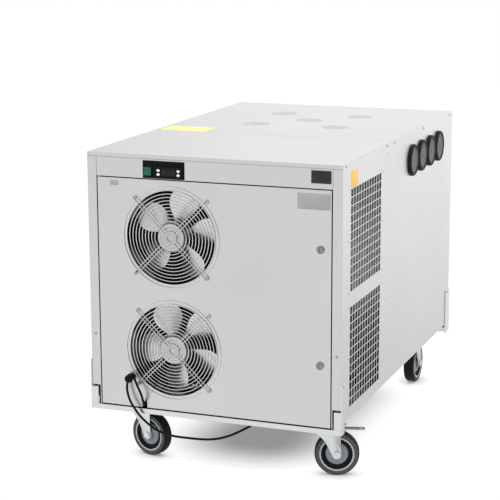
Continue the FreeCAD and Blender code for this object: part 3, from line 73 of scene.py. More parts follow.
# Camera: turned and lifted as the photograph's, aimed beside the cabinet's middle.
cameraSetup = {
    "azimuth": 19.54, "elevation": 12.15, "yaw": 1.23, "pitch": 0.03, "roll": 0.06,
    "distance": 4.833, "focalPixels": 1624.0, "imagePixels": 500.0, "sensor": 36.0, "farClip": 60.0,
}


def makeCamera(setup):
    turn, lift = math.radians(setup["azimuth"]), math.radians(setup["elevation"])
    back = Vector((math.sin(turn) * math.cos(lift), -math.cos(turn) * math.cos(lift), math.sin(lift)))
    right = Vector((math.cos(turn), math.sin(turn), 0.0))
    axes = {"back": back, "right": right, "up": back.cross(right)}
    middle = Vector(at(0.0, cabinet["depth"] / 2, (cabinet["bottom"] + cabinet["top"]) / 2))
    place = middle + back * setup["distance"]
    # Each small turn mixes two of the camera's axes.
    for name, one, other in (("yaw", "back", "right"), ("pitch", "back", "up"), ("roll", "right", "up")):
        angle = math.radians(setup[name])
        axes[one], axes[other] = (axes[one] * math.cos(angle) + axes[other] * math.sin(angle),
                                  axes[other] * math.cos(angle) - axes[one] * math.sin(angle))
    lens = bpy.data.cameras.new("photoCamera")
    lens.sensor_width = setup["sensor"]
    lens.lens = setup["focalPixels"] / setup["imagePixels"] * setup["sensor"]
    lens.clip_end = setup["farClip"]
    camera = bpy.data.objects.new("photoCamera", lens)
    bpy.context.collection.objects.link(camera)
    facing = Matrix((axes["right"], axes["up"], axes["back"])).transposed().to_4x4()
    camera.matrix_world = Matrix.Translation(place) @ facing
    bpy.context.scene.camera = camera


makeCamera(cameraSetup)
print("camera placed")


# Material helpers.
def linear(code):
    # Turns an sRGB hex colour into linear values.
    parts = [int(code[i:i + 2], 16) / 255 for i in (1, 3, 5)]
    return tuple(p / 12.92 if p <= 0.04045 else ((p + 0.055) / 1.055) ** 2.4 for p in parts) + (1.0,)


def addNode(tree, kind, settings=None, inputs=None):
    # Adds a node, sets its own settings, and fills its sockets with values or links.
    node = tree.nodes.new(kind)
    for name, value in (settings or {}).items():
        setattr(node, name, value)
    for name, value in (inputs or {}).items():
        if isinstance(value, tuple) and len(value) == 2 and isinstance(value[0], bpy.types.Node):
            tree.links.new(value[0].outputs[value[1]], node.inputs[name])
        else:
            node.inputs[name].default_value = value
    return node


def newFinish(name, colour, metallic=0.0, roughness=0.3, specular=None):
    # A plain finish; what varies over it is linked in afterwards.
    finish = bpy.data.materials.new(name)
    finish.use_nodes = True
    sockets = finish.node_tree.nodes["Principled BSDF"].inputs
    sockets["Base Color"].default_value = linear(colour)
    sockets["Metallic"].default_value = metallic
    sockets["Roughness"].default_value = roughness
    if specular is not None:
        sockets["Specular IOR Level"].default_value = specular
    return finish


def varied(finish, size, detail=2.0, breakUp=0.5, gloss=None, tones=None, relief=None):
    # One noise pattern, its size in metres alike or along X, Y and Z, varies what is named of a
    # finish: its gloss between two roughnesses, its tone between two colours, and its relief.
    tree = finish.node_tree
    sockets = tree.nodes["Principled BSDF"].inputs
    sizes = size if isinstance(size, tuple) else (size, size, size)
    spots = addNode(tree, "ShaderNodeMapping", None,
                    {"Vector": (addNode(tree, "ShaderNodeTexCoord"), "Object"),
                     "Scale": tuple(1.0 / length for length in sizes)})
    cloud = addNode(tree, "ShaderNodeTexNoise", None,
                    {"Vector": (spots, "Vector"), "Scale": 1.0, "Detail": detail, "Roughness": breakUp})
    if gloss:
        level = addNode(tree, "ShaderNodeMapRange", {"clamp": True},
                        {"Value": (cloud, "Fac"), "From Min": 0.3, "From Max": 0.7,
                         "To Min": gloss[0], "To Max": gloss[1]})
        tree.links.new(level.outputs["Result"], sockets["Roughness"])
    if tones:
        tone = addNode(tree, "ShaderNodeMix", {"data_type": "RGBA"},
                       {0: (cloud, "Fac"), 6: linear(tones[0]), 7: linear(tones[1])})
        tree.links.new(tone.outputs[2], sockets["Base Color"])
    if relief:
        bump = addNode(tree, "ShaderNodeBump", None,
                       {"Height": (cloud, "Fac"), "Strength": relief[0], "Distance": relief[1]})
        tree.links.new(bump.outputs["Normal"], sockets["Normal"])
    return finish


# Brushed stainless sheet with a number four finish: fine scratches one way, 0.6 mm from one to the
# next and 120 mm long, and a hand-wiped unevenness in the gloss.
stainlessLook = {"tones": ("#dadada", "#dedede"), "gloss": (0.34, 0.4), "wide": 0.0006, "long": 0.12,
                 "patch": 0.35, "relief": (0.015, 0.0001)}
barLook = dict(stainlessLook, tones=("#dfdfde", "#e6e6e5"), gloss=(0.24, 0.32))


def brushedStainless(name, along, look):
    finish = newFinish(name, look["tones"][1], 1.0)
    size = tuple(look["long"] if axis == along else look["wide"] for axis in "xyz")
    varied(finish, size, 4.0, 0.6, tones=look["tones"], relief=look["relief"])
    return varied(finish, look["patch"], gloss=look["gloss"])


doorSteel = brushedStainless("brushedStainlessDoor", "z", stainlessLook)
topSteel = brushedStainless("brushedStainlessTop", "y", stainlessLook)
sideSteel = brushedStainless("brushedStainlessSide", "y", stainlessLook)
barSteel = brushedStainless("brushedStainlessBars", "x", barLook)


# Hot-dip galvanised sheet for the parts out of sight: dull grey with angular spangles about 8 mm
# wide, each of its own tone and gloss.
def galvanisedSheet(name, spangleSize=1 / 120, tones=("#85888b", "#a9adb0"), gloss=(0.38, 0.55)):
    finish = newFinish(name, tones[1], 0.5)
    tree = finish.node_tree
    sockets = tree.nodes["Principled BSDF"].inputs
    spangle = addNode(tree, "ShaderNodeTexVoronoi", None,
                      {"Vector": (addNode(tree, "ShaderNodeTexCoord"), "Object"), "Scale": 1 / spangleSize})
    grey = addNode(tree, "ShaderNodeSeparateColor", None, {"Color": (spangle, "Color")})
    tone = addNode(tree, "ShaderNodeMix", {"data_type": "RGBA"},
                   {0: (grey, "Red"), 6: linear(tones[0]), 7: linear(tones[1])})
    level = addNode(tree, "ShaderNodeMapRange", {"clamp": True},
                    {"Value": (grey, "Green"), "To Min": gloss[0], "To Max": gloss[1]})
    tree.links.new(tone.outputs[2], sockets["Base Color"])
    tree.links.new(level.outputs["Result"], sockets["Roughness"])
    return finish


galvanised = galvanisedSheet("hotDipGalvanisedSheet")


# Pressed steel or wire with bright zinc or chrome plate: a mirror with clouds 17 mm across.
def plated(name, tones, gloss):
    return varied(newFinish(name, tones[1], 1.0), 1 / 60, 4.0, 0.6, gloss, tones)


zinc = plated("brightZincPlate", ("#b4b7ba", "#c9cccf"), (0.22, 0.36))
forkPlate = plated("brightForkPlate", ("#d6d9db", "#e9ebec"), (0.22, 0.34))
chrome = plated("polishedChrome", ("#b4b7ba", "#dededd"), (0.06, 0.12))
guardPlate = plated("brightWirePlate", ("#dcdcda", "#ececea"), (0.08, 0.14))
lockPlate = plated("dullChromeLock", ("#7d7f81", "#a2a3a4"), (0.1, 0.2))


# Injection moulded plastic or rubber: one colour, a fine spark-eroded grain 0.6 mm across that also
# breaks the gloss. The black ones mirror little.
def moulded(name, colour, roughness, specular=None, grain=0.0006, depth=0.12):
    finish = newFinish(name, colour, 0.0, roughness, specular)
    return varied(finish, grain, gloss=(roughness - 0.05, roughness + 0.08), relief=(depth, 0.0002))


dull = 0.16
panelPlastic = moulded("mouldedBlackPanelAbs", "#060607", 0.5, dull)
bezelPlastic = moulded("mouldedBlackBezelAbs", "#08090a", 0.38, dull)
collarRubber = moulded("mouldedBlackEpdm", "#18181a", 0.5, dull)
stopperRubber = moulded("mouldedGreyEpdm", "#5b5b5f", 0.6)
cordRubber = moulded("extrudedBlackCordPvc", "#060607", 0.4, dull, 0.0012, 0.06)
plugRubber = moulded("mouldedBlackPlugPvc", "#08080a", 0.45, dull)
hookRubber = moulded("mouldedBlackHookNylon", "#060607", 0.38, dull)
# Painted shade: near-black rubber that stands in for the shadow in the slits round and under the door.
gapShadeBlack = moulded("blackPaintedGapShade", "#040405", 0.7, 0.05)
treadRubber = moulded("blackTyreTread", "#1b1c1d", 0.62, dull, 0.0014, 0.2)
tyreRubber = moulded("greyTyreRubber", "#4f5356", 0.62, dull, 0.0014, 0.2)
rimPlastic = moulded("lightGreyRimNylon", "#b2b8bb", 0.4)
webPlastic = moulded("blackRimWebNylon", "#17191a", 0.5, dull)
hubPlastic = moulded("greyHubCapNylon", "#888d91", 0.4)
whiteKey = moulded("whiteSiliconeKey", "#f0f0ee", 0.45)
pumpPlastic = moulded("mouldedDarkPumpPbt", "#2b2f3c", 0.4)
boxPlastic = moulded("greyEnclosurePolycarbonate", "#b9bcbf", 0.4)
drainPlastic = moulded("greyDrainPvc", "#c9cbcc", 0.35)
foamSkin = moulded("castPolyurethaneFoam", "#d8c98f", 0.85, None, 0.003, 0.5)

# Clear mouldings: the green rocker key is streaked inside, and the display's smoked acrylic has a haze.
greenKey = varied(newFinish("translucentGreenPolycarbonate", "#0a5238", specular=0.35), 1 / 90,
                  tones=("#06402b", "#0f6a49"))
displayGlass = varied(newFinish("smokedDisplayAcrylic", "#0a0d0e", specular=0.3), 1 / 40, gloss=(0.06, 0.14))


# Cast, pressed or drawn metal without a plate: a soft cloud 22 mm across breaks the gloss and
# leaves faint waves.
def formedMetal(name, colour, gloss, metallic=1.0):
    return varied(newFinish(name, colour, metallic), 1 / 45, 5.0, 0.6, gloss, relief=(0.06, 0.001))


bladeMetal = formedMetal("pressedAluminiumBlade", "#f4f4f2", (0.2, 0.32))
motorMetal = formedMetal("castAluminiumMotor", "#cfcfcd", (0.3, 0.5))
finMetal = formedMetal("blackCoatedAluminiumFin", "#222426", (0.5, 0.62), 0.3)
coilMetal = formedMetal("bentStainlessTube", "#cfcfcd", (0.2, 0.3))

# Drawn copper tube gone brown in stains 29 mm across.
copper = varied(newFinish("drawnCopperTube", "#c4703f", 1.0), 1 / 35, 4.0,
                gloss=(0.22, 0.45), tones=("#8a4a2a", "#d07f4c"))

# Stoved black enamel on the compressor shell: glossy, with slight orange peel 3 mm across.
enamel = varied(newFinish("stovedBlackEnamel", "#0c0c0d", 0.0, 0.25), 1 / 330, 1.0, relief=(0.15, 0.0004))


# Adhesive label film: flat colour, slightly waxy, with a faint mottle 4 mm across.
def labelFilm(name, colour, roughness=0.45):
    return varied(newFinish(name, colour), 1 / 250, gloss=(roughness - 0.06, roughness + 0.06))


paleYellow = labelFilm("paleYellowVinyl", "#f5df86")
amber = labelFilm("amberVinyl", "#f0b93c")
greyFilm = labelFilm("greyPrintedVinyl", "#9c9c9b")
badgeFilm = labelFilm("blackAnodisedBadge", "#141416", 0.3)
print("finishes made")

# Mesh helpers.
mergeReach = 2e-6


def gridFaces(rows, columns, closeRows, closeColumns):
    # Corner numbers of every quad of a grid, wrapped round where it closes on itself.
    i = np.arange(rows if closeRows else rows - 1)[:, None]
    j = np.arange(columns if closeColumns else columns - 1)[None, :]
    nextI, nextJ = (i + 1) % rows, (j + 1) % columns
    return np.stack([i * columns + j, i * columns + nextJ, nextI * columns + nextJ, nextI * columns + j],
                    -1).reshape(-1, 4)


def joinDoubles(mesh, flatten=False):
    # Joins points that coincide. A CAD copy's triangles then become flat faces again, and a new
    # mesh's faces are all turned outwards.
    work = bmesh.new()
    work.from_mesh(mesh)
    bmesh.ops.remove_doubles(work, verts=work.verts, dist=mergeReach)
    if flatten:
        bmesh.ops.dissolve_limit(work, angle_limit=math.radians(1.0), verts=work.verts, edges=work.edges)
    else:
        bmesh.ops.recalc_face_normals(work, faces=work.faces)
    work.to_mesh(mesh)
    work.free()


def finishMesh(mesh, finish, sharp):
    # Fills the slots, and shades all faces smooth but for edges sharper than an angle.
    for entry in finish if isinstance(finish, list) else [finish]:
        mesh.materials.append(entry)
    mesh.polygons.foreach_set("use_smooth", np.ones(len(mesh.polygons), bool))
    mesh.set_sharp_from_angle(angle=math.radians(sharp))


def meshOf(name, patches, finish, sharp):
    # Builds one mesh from grids of points: (points, rows close, columns close, finish number).
    points, faces, marks, start = [], [], [], 0
    for grid, closeRows, closeColumns, *mark in patches:
        rows, columns = grid.shape[:2]
        quads = gridFaces(rows, columns, closeRows, closeColumns) + start
        points.append(grid.reshape(-1, 3))
        faces.append(quads)
        marks.append(np.full(len(quads), mark[0] if mark else 0, np.int32))
        start += rows * columns
    mesh = bpy.data.meshes.new(name)
    mesh.from_pydata(np.concatenate(points).tolist(), [], np.concatenate(faces).tolist())
    mesh.polygons.foreach_set("material_index", np.concatenate(marks))
    joinDoubles(mesh)
    finishMesh(mesh, finish, sharp)
    piece = bpy.data.objects.new(name, mesh)
    bpy.context.collection.objects.link(piece)
    return piece


def settle(piece, body, replaced=(), slot=None):
    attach(piece, body)
    if replaced:
        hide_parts(*replaced)
        slot = slot or slotOf[replaced[0]]
    return piece


def addPiece(name, patches, finish, body, replaced=(), slot=None, sharp=50):
    return settle(meshOf(name, patches, finish, sharp), body, replaced, slot)


def middleOf(node):
    low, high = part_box(node)
    return (np.array(low) + np.array(high)) / 2


def axisFrame(axis):
    # Three directions: the axis, and two square to it.
    along = np.asarray(axis, float) / np.linalg.norm(axis)
    helper = np.array([0.0, 0.0, 1.0]) if abs(along[2]) < 0.9 else np.array([1.0, 0.0, 0.0])
    across = np.cross(helper, along)
    across /= np.linalg.norm(across)
    return along, across, np.cross(along, across)


def turned(profile, centre, axis, steps=48):
    # A profile of (distance along the axis, radius) pairs, carried once round the axis.
    along, across, over = axisFrame(axis)
    profile = np.asarray(profile, float)
    angle = np.linspace(0, 2 * math.pi, steps, endpoint=False)[:, None, None]
    ray = np.cos(angle) * across + np.sin(angle) * over
    return np.asarray(centre) + profile[None, :, 0:1] * along + profile[None, :, 1:2] * ray


def wireAlong(path, radius, sides=8, closed=False):
    # A round section carried along a path, square to it everywhere and turning as little as it can.
    path = np.asarray(path, float)
    step = np.roll(path, -1, 0) - np.roll(path, 1, 0) if closed else np.gradient(path, axis=0)
    way = step / np.linalg.norm(step, axis=1, keepdims=True)
    across = np.empty_like(way)
    across[0] = axisFrame(way[0])[1]
    for k in range(1, len(way)):
        side = across[k - 1] - way[k] * np.dot(across[k - 1], way[k])
        across[k] = side / np.linalg.norm(side)
    over = np.cross(way, across)
    angle = np.linspace(0, 2 * math.pi, sides, endpoint=False)[None, :, None]
    return path[:, None] + radius * (np.cos(angle) * across[:, None] + np.sin(angle) * over[:, None])


def capped(path, radius, sides):
    # A wire whose two ends are drawn to a point, so that it is closed.
    rings = wireAlong(path, radius, sides)
    first = np.repeat(rings[0].mean(0)[None], sides, 0)[None]
    last = np.repeat(rings[-1].mean(0)[None], sides, 0)[None]
    return np.concatenate([first, rings, last])


def smoothCorner(profile, radius, steps=5, mostShare=0.45):
    # Rounds the inner corners of an open profile. A point of the curve is (1 - t) squared of its
    # first end, 2 t (1 - t) of the corner and t squared of its last end.
    profile = [np.asarray(p, float) for p in profile]
    out = [profile[0]]
    for before, corner, after in zip(profile, profile[1:], profile[2:]):
        into, away = corner - before, after - corner
        reach = min(radius, mostShare * np.linalg.norm(into), mostShare * np.linalg.norm(away))
        first = corner - into / np.linalg.norm(into) * reach
        last = corner + away / np.linalg.norm(away) * reach
        t = np.linspace(0, 1, steps)[:, None]
        out.extend((1 - t) ** 2 * first + 2 * t * (1 - t) * corner + t ** 2 * last)
    out.append(profile[-1])
    return np.array(out)


def roundedBox(width, height, corner, steps=6):
    # The outline of a rectangle with round corners: quarter arcs about the four inset corners.
    angle = np.concatenate([np.linspace(k * math.pi / 2, (k + 1) * math.pi / 2, steps) for k in range(4)])
    middle = np.repeat(np.array([[1, 1], [-1, 1], [-1, -1], [1, -1]]), steps, 0)
    reach = np.array([width / 2 - corner, height / 2 - corner])
    return middle * reach + corner * np.stack([np.cos(angle), np.sin(angle)], -1)


def slab(outline, hub, frameAxes, origin, low, high, soft):
    # A plate from a star-shaped outline in its own plane, with its two rims rolled over: rows of the
    # outline, drawn in towards its hub and lifted along its normal.
    outline = np.asarray(outline, float)
    hub = np.asarray(hub, float)
    inward = hub - outline
    inward /= np.linalg.norm(inward, axis=1, keepdims=True)
    hubs = np.repeat(hub[None], len(outline), 0)
    part = soft * 0.3  # the middle of a rolled rim, where it is nearest the sharp corner
    rows = [(hubs, low), (outline + inward * soft, low), (outline + inward * part, low + part),
            (outline, low + soft), (outline, high - soft), (outline + inward * part, high - part),
            (outline + inward * soft, high), (hubs, high)]
    first, second, normal = (np.asarray(axis, float) for axis in frameAxes)
    grid = np.stack([np.asarray(origin) + flat[:, :1] * first + flat[:, 1:] * second + height * normal
                     for flat, height in rows])
    return grid, False, True


rolledEdge = {"segments": 2, "angle": 40.0, "sharp": 30.0}


def softened(node, finish, width):
    # A CAD node's own shape with its sheet edges rolled over by a small bevel.
    piece = nodes[node].copy()
    piece.data = nodes[node].data.copy()
    piece.name = node + "_dressed"
    piece.parent = None
    piece.matrix_world = Matrix.Identity(4)
    bpy.context.collection.objects.link(piece)
    joinDoubles(piece.data, flatten=True)
    piece.data.materials.clear()
    piece.data.polygons.foreach_set("material_index", np.zeros(len(piece.data.polygons), np.int32))
    finishMesh(piece.data, finish, rolledEdge["sharp"])
    bevel = piece.modifiers.new("rolledEdge", "BEVEL")
    bevel.width = width
    bevel.segments = rolledEdge["segments"]
    bevel.limit_method = "ANGLE"
    bevel.angle_limit = math.radians(rolledEdge["angle"])
    bevel.harden_normals = True
    return settle(piece, bodyOf[node], [node])


# Mains lead: leaves the gland under the door, goes over the hook, hangs, runs back in clips under
# the floor pan and lies coiled on the floor under the cabinet.
cordLead = {"radius": 0.00325, "loops": 3, "outer": 0.044, "step": 0.008, "layer": 0.007, "lead": 0.062,
            "plugRadius": 0.0185, "floorGap": 0.0001, "turnPoints": 16, "shortTurn": 0.25, "climbTurns": 0.5,
            "blendLow": 0.172, "blendHigh": 0.245}
cordPoints = [
    (-0.2025, -0.00102, 0.1860), (-0.2025, -0.01141, 0.1920), (-0.2005, -0.0185, 0.2025),
    (-0.2035, -0.0215, 0.2180), (-0.2130, -0.0200, 0.2350), (-0.2245, -0.0155, 0.2550),
    (-0.2290, -0.0105, 0.2671), (-0.2460, -0.0105, 0.2671),
    (-0.2470, -0.0120, 0.2500), (-0.2488, -0.0150, 0.2330), (-0.2460, -0.0170, 0.2140),
    (-0.2385, -0.0180, 0.1940), (-0.2260, -0.0170, 0.1730), (-0.2090, -0.0145, 0.1500),
    (-0.1855, -0.0110, 0.1285), (-0.1560, -0.0065, 0.1100), (-0.1200, -0.0015, 0.1010),
    (-0.0820, 0.0025, 0.0995), (-0.0420, 0.0065, 0.0985), (-0.0020, 0.0115, 0.1010),
    (0.0380, 0.0180, 0.1130), (0.0740, 0.0260, 0.1320), (0.1040, 0.0440, 0.1490),
    (0.1240, 0.0740, 0.1630), (0.1340, 0.1120, 0.1715), (0.1385, 0.1600, 0.1750),
    (0.1365, 0.2150, 0.1760), (0.1390, 0.2700, 0.1755), (0.1365, 0.3250, 0.1760),
    (0.1385, 0.3780, 0.1730), (0.1370, 0.4180, 0.1580), (0.1380, 0.4400, 0.1250),
    (0.1365, 0.4490, 0.0850), (0.1380, 0.4600, 0.0470), (0.1375, 0.4820, 0.0170),
    (0.1385, 0.5160, 0.0042), (0.1380, 0.5560, 0.00335), (0.1380, 0.5900, 0.00335),
]


def coilPoints(lead, start):
    # Turns spiral in along the floor, climb one layer in half a turn, and spiral out on top.
    goingIn = lead["loops"] - lead["shortTurn"]
    turns = np.arange(1, 2 * lead["loops"] * lead["turnPoints"] + 1) / lead["turnPoints"]
    inner = lead["outer"] - lead["step"] * goingIn
    radius = np.where(turns <= goingIn, lead["outer"] - lead["step"] * turns,
                      np.maximum(inner, inner + lead["step"] * (turns - goingIn - lead["climbTurns"])))
    low = lead["radius"] + lead["floorGap"]
    height = low + lead["layer"] * np.clip((turns - goingIn) / lead["climbTurns"], 0, 1)
    angle = 2 * math.pi * turns
    radius = radius / (0.5 + 0.5 * math.cos(math.pi / lead["turnPoints"]))
    coil = np.stack([start[0] - lead["outer"] + radius * np.cos(angle),
                     start[1] + radius * np.sin(angle), height], -1)
    way = coil[-1] - coil[-2]
    way = way / np.linalg.norm(way)
    way = np.array([way[0], way[1], 0.0])
    plugHeight = lead["plugRadius"] + lead["floorGap"]
    middle = coil[-1] + way * lead["lead"] * 0.5
    end = coil[-1] + way * lead["lead"]
    return np.vstack([coil, [[middle[0], middle[1], (coil[-1][2] + plugHeight) / 2]],
                      [[end[0], end[1], plugHeight]]])


def cordSpline(points):
    # The lead's middle line: a spline of order three, drawn towards its points and held at both ends.
    curve = bpy.data.curves.new("mainsLeadLine", "CURVE")
    curve.dimensions = "3D"
    curve.resolution_u = 6
    spline = curve.splines.new("NURBS")
    spline.points.add(len(points) - 1)
    flat = np.hstack([points, np.ones((len(points), 1))]).ravel()
    spline.points.foreach_set("co", flat)
    spline.order_u = 3
    spline.use_endpoint_u = True
    holder = bpy.data.objects.new("mainsLeadLine", curve)
    bpy.context.collection.objects.link(holder)
    mesh = bpy.data.meshes.new_from_object(holder)
    line = np.empty(len(mesh.vertices) * 3)
    mesh.vertices.foreach_get("co", line)
    bpy.data.meshes.remove(mesh)
    bpy.data.objects.remove(holder)
    return line.reshape(-1, 3)


routePoints = np.array([at(*point) for point in cordPoints])
allCordPoints = np.vstack([routePoints, coilPoints(cordLead, routePoints[-1])])
cordLine = cordSpline(allCordPoints)
cordSkin = capped(cordLine, cordLead["radius"], 14)
cordPiece = meshOf("mainsLeadSkin", [(cordSkin, False, True)], cordRubber, 35)

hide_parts("mains_cord", "mains_cord_coil")
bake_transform(cordPiece)


# CAD nodes that keep their own mesh, with the finish that each gets.
plain = {
    "floor_pan": galvanised, "bulkhead": galvanised, "water_tank": coilMetal, "tank_insulation": foamSkin,
    "evaporator_coil": copper, "beverage_coils": coilMetal, "circulation_pumps": pumpPlastic,
    "agitator_rotor": coilMetal, "refrigerant_lines": copper, "condenser": finMetal,
    "door_hinge_pins": zinc, "cord_clips": zinc,
}
for node, finish in plain.items():
    nodes[node].data.materials.clear()
    nodes[node].data.materials.append(finish)

# CAD nodes that are dressed: their finish, and the width of their rolled edges.
dressed = {
    # The last finish of the door, fascia and stiles is black painted shade for the slit round the door.
    "front_door": ([doorSteel, enamel, gapShadeBlack], 0.0007), "fascia": ([doorSteel, gapShadeBlack], 0.0006),
    "front_stiles": ([doorSteel, gapShadeBlack], 0.0006),
    "front_cover": (topSteel, 0.0007), "rear_lid": (topSteel, 0.0006), "rear_panel": (sideSteel, 0.0004),
    "side_panel_right": (sideSteel, 0.0004), "side_panel_left": (sideSteel, 0.0004),
    "base_cross_rails": (barSteel, 0.0007), "base_side_rails": (galvanised, 0.0007),
    "corner_uprights": (barSteel, 0.0006), "control_plate": (panelPlastic, 0.0005),
    "thermostat": (bezelPlastic, 0.0003), "rocker_frame": (bezelPlastic, 0.0004),
    "rocker_key": (greenKey, 0.0005), "caster_plates": (zinc, 0.0005),
    "electrical_box": (boxPlastic, 0.001), "compressor": (enamel, 0.001),
    "drain_pipe": (drainPlastic, 0.0008), "brake_pedal": (zinc, 0.0007),
    "lock_upper": (lockPlate, 0.0003), "lock_lower": (lockPlate, 0.0003),
}
for number in range(1, 5):
    dressed["thermostat_button_%d" % number] = (whiteKey, 0.0005)
dressedPieces = {node: softened(node, finish, width) for node, (finish, width) in dressed.items()}
print("sheet metal and plastics dressed")


def fanCentre(name):
    # The middle of a fan's grille on the door's front face.
    middle = middleOf("fan_guard_" + name)
    return np.array([middle[0], frontY, middle[2]])


# Painted zones: the rings round the fans are powder coated black from behind the sheet's face, and
# the folded edges on both sides of the slit round the door are painted black, painted shade that stands in for the
# shadow in the slit.
doorLow, doorHigh = (np.array(corner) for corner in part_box("front_door"))
# Reaches of the black painted gap shade round the door, and of the fans' black rings.
gapShadeZones = {"skin": 0.0005, "fold": 0.02, "gap": 0.0045, "doorGap": 0.0008, "ringReach": 0.131}


def paintGapShadeAndFanRings(piece, mark, reach, ringReach=0.0):
    # Folds square to the sheet, within reach of the door's outline, take the number of the black
    # painted gap shade, and what lies behind the skin within reach of a fan takes the powder coat's.
    faces = piece.data.polygons
    spots, ways = np.empty(len(faces) * 3), np.empty(len(faces) * 3)
    faces.foreach_get("center", spots)
    faces.foreach_get("normal", ways)
    spots, ways = spots.reshape(-1, 3), ways.reshape(-1, 3)
    beyond = np.maximum(doorLow - spots, spots - doorHigh)[:, [0, 2]].max(1)
    behind = spots[:, 1] > frontY + gapShadeZones["skin"]
    folded = behind & (spots[:, 1] < frontY + gapShadeZones["fold"]) & (np.abs(ways[:, 1]) < 0.5)
    marks = np.where((np.abs(beyond) < reach) & folded, mark, 0).astype(np.int32)
    for name in ("upper", "lower"):
        away = np.linalg.norm((spots - fanCentre(name))[:, [0, 2]], axis=1)
        marks[(away < ringReach) & behind] = 1
    faces.foreach_set("material_index", marks)


# The door's folds take the painted gap shade as finish two, the stiles' and fascia's as finish one.
paintGapShadeAndFanRings(dressedPieces["front_door"], 2, gapShadeZones["doorGap"], gapShadeZones["ringReach"])
for node in ("front_stiles", "fascia"):
    paintGapShadeAndFanRings(dressedPieces[node], 1, gapShadeZones["gap"])

# Fan guards: eleven welded rings with four hairpin spokes, each looped round its screw.
guardWire = {"radius": 0.0013, "inner": 0.0455, "outer": 0.1372, "rings": 11, "ringY": -0.0016,
             "spokeY": -0.00395, "spread": 0.009, "straight": (0.04, 0.08, 0.12), "lug": 0.1459,
             "loop": 0.005, "corners": (45, 135, 225, 315), "boss": (0.0095, 0.019), "bossSoft": 0.00052}


def guardOf(name, wire):
    # Rings are circles of wire. A spoke goes out straight, round half an ellipse and back.
    centre = fanCentre(name)
    patches = []
    turn = np.linspace(0, 2 * math.pi, 96, endpoint=False)
    for ring in np.linspace(wire["inner"], wire["outer"], wire["rings"]):
        path = centre + np.stack([ring * np.cos(turn), 0 * turn + wire["ringY"], ring * np.sin(turn)], -1)
        patches.append((wireAlong(path, wire["radius"], 8, True), True, True))
    half = wire["spread"] / 2
    bend = np.linspace(math.pi / 2, -math.pi / 2, 17)
    straight = [wire["spread"], *wire["straight"]]
    along = np.concatenate([straight, wire["lug"] + wire["loop"] * np.cos(bend), straight[::-1]])
    across = np.concatenate([[half] * 4, half * np.sin(bend), [-half] * 4])
    for corner in wire["corners"]:
        angle = math.radians(corner)
        path = centre + np.stack([along * math.cos(angle) - across * math.sin(angle),
                                  0 * along + wire["spokeY"],
                                  along * math.sin(angle) + across * math.cos(angle)], -1)
        patches.append((capped(path, wire["radius"], 8), False, True))
    inner, outer = wire["boss"]
    low, high = wire["spokeY"] - wire["radius"], wire["spokeY"] + wire["radius"]
    soft = wire["bossSoft"]
    washer = [(low, inner + soft), (low, outer - soft), (low + soft, outer), (high, outer), (high, inner),
              (low + soft, inner)]
    patches.append((turned(washer, centre, (0, 1, 0), 64), True, True, 1))
    addPiece("fan_guard_%s_wire" % name, patches, [guardPlate, zinc], "door", ["fan_guard_" + name], sharp=40)


for name in ("upper", "lower"):
    guardOf(name, guardWire)

# Fan motors: a flat front cap with a shallow turned step, and a ribbed can behind it.
motorShape = [(-0.0022, 0.0), (-0.0022, 0.0125), (-0.0014, 0.0135), (-0.0014, 0.0275), (-0.00265, 0.0290),
              (-0.00265, 0.0362), (-0.0009, 0.0380), (0.0085, 0.0380), (0.0100, 0.0392), (0.0105, 0.0412),
              (0.0125, 0.0420), (0.0420, 0.0420), (0.0440, 0.0400), (0.0440, 0.0041), (0.0320, 0.0041),
              (0.0320, 0.0)]
motorPatches = [(turned(motorShape, fanCentre(name), (0, 1, 0), 72), True, False)
                for name in ("upper", "lower")]
addPiece("fanMotorCans", motorPatches, motorMetal, "door", ["fan_motors"], sharp=32)

# Fan rotors: five broad pressed blades with round corners on a shallow hub.
bladeShape = {"count": 5, "span": 50.0, "rootSpan": 34.0, "wide": 0.5, "tipShare": 0.95, "root": 0.0268,
              "tip": 0.124, "thick": 0.0016, "front": 0.0449, "rise": 0.026, "camber": 0.005,
              "rimWide": 0.05, "rimShare": 0.35, "phase": {"upper": 8.0, "lower": 45.0}}
hubShape = [(0.0465, 0.0), (0.0465, 0.022), (0.0475, 0.0275), (0.0500, 0.0300), (0.0680, 0.0300),
            (0.0705, 0.0280), (0.0705, 0.0)]
shaftShape = [(0.0325, 0.0), (0.0325, 0.0036), (0.0327, 0.0038), (0.0480, 0.0038), (0.0480, 0.0)]


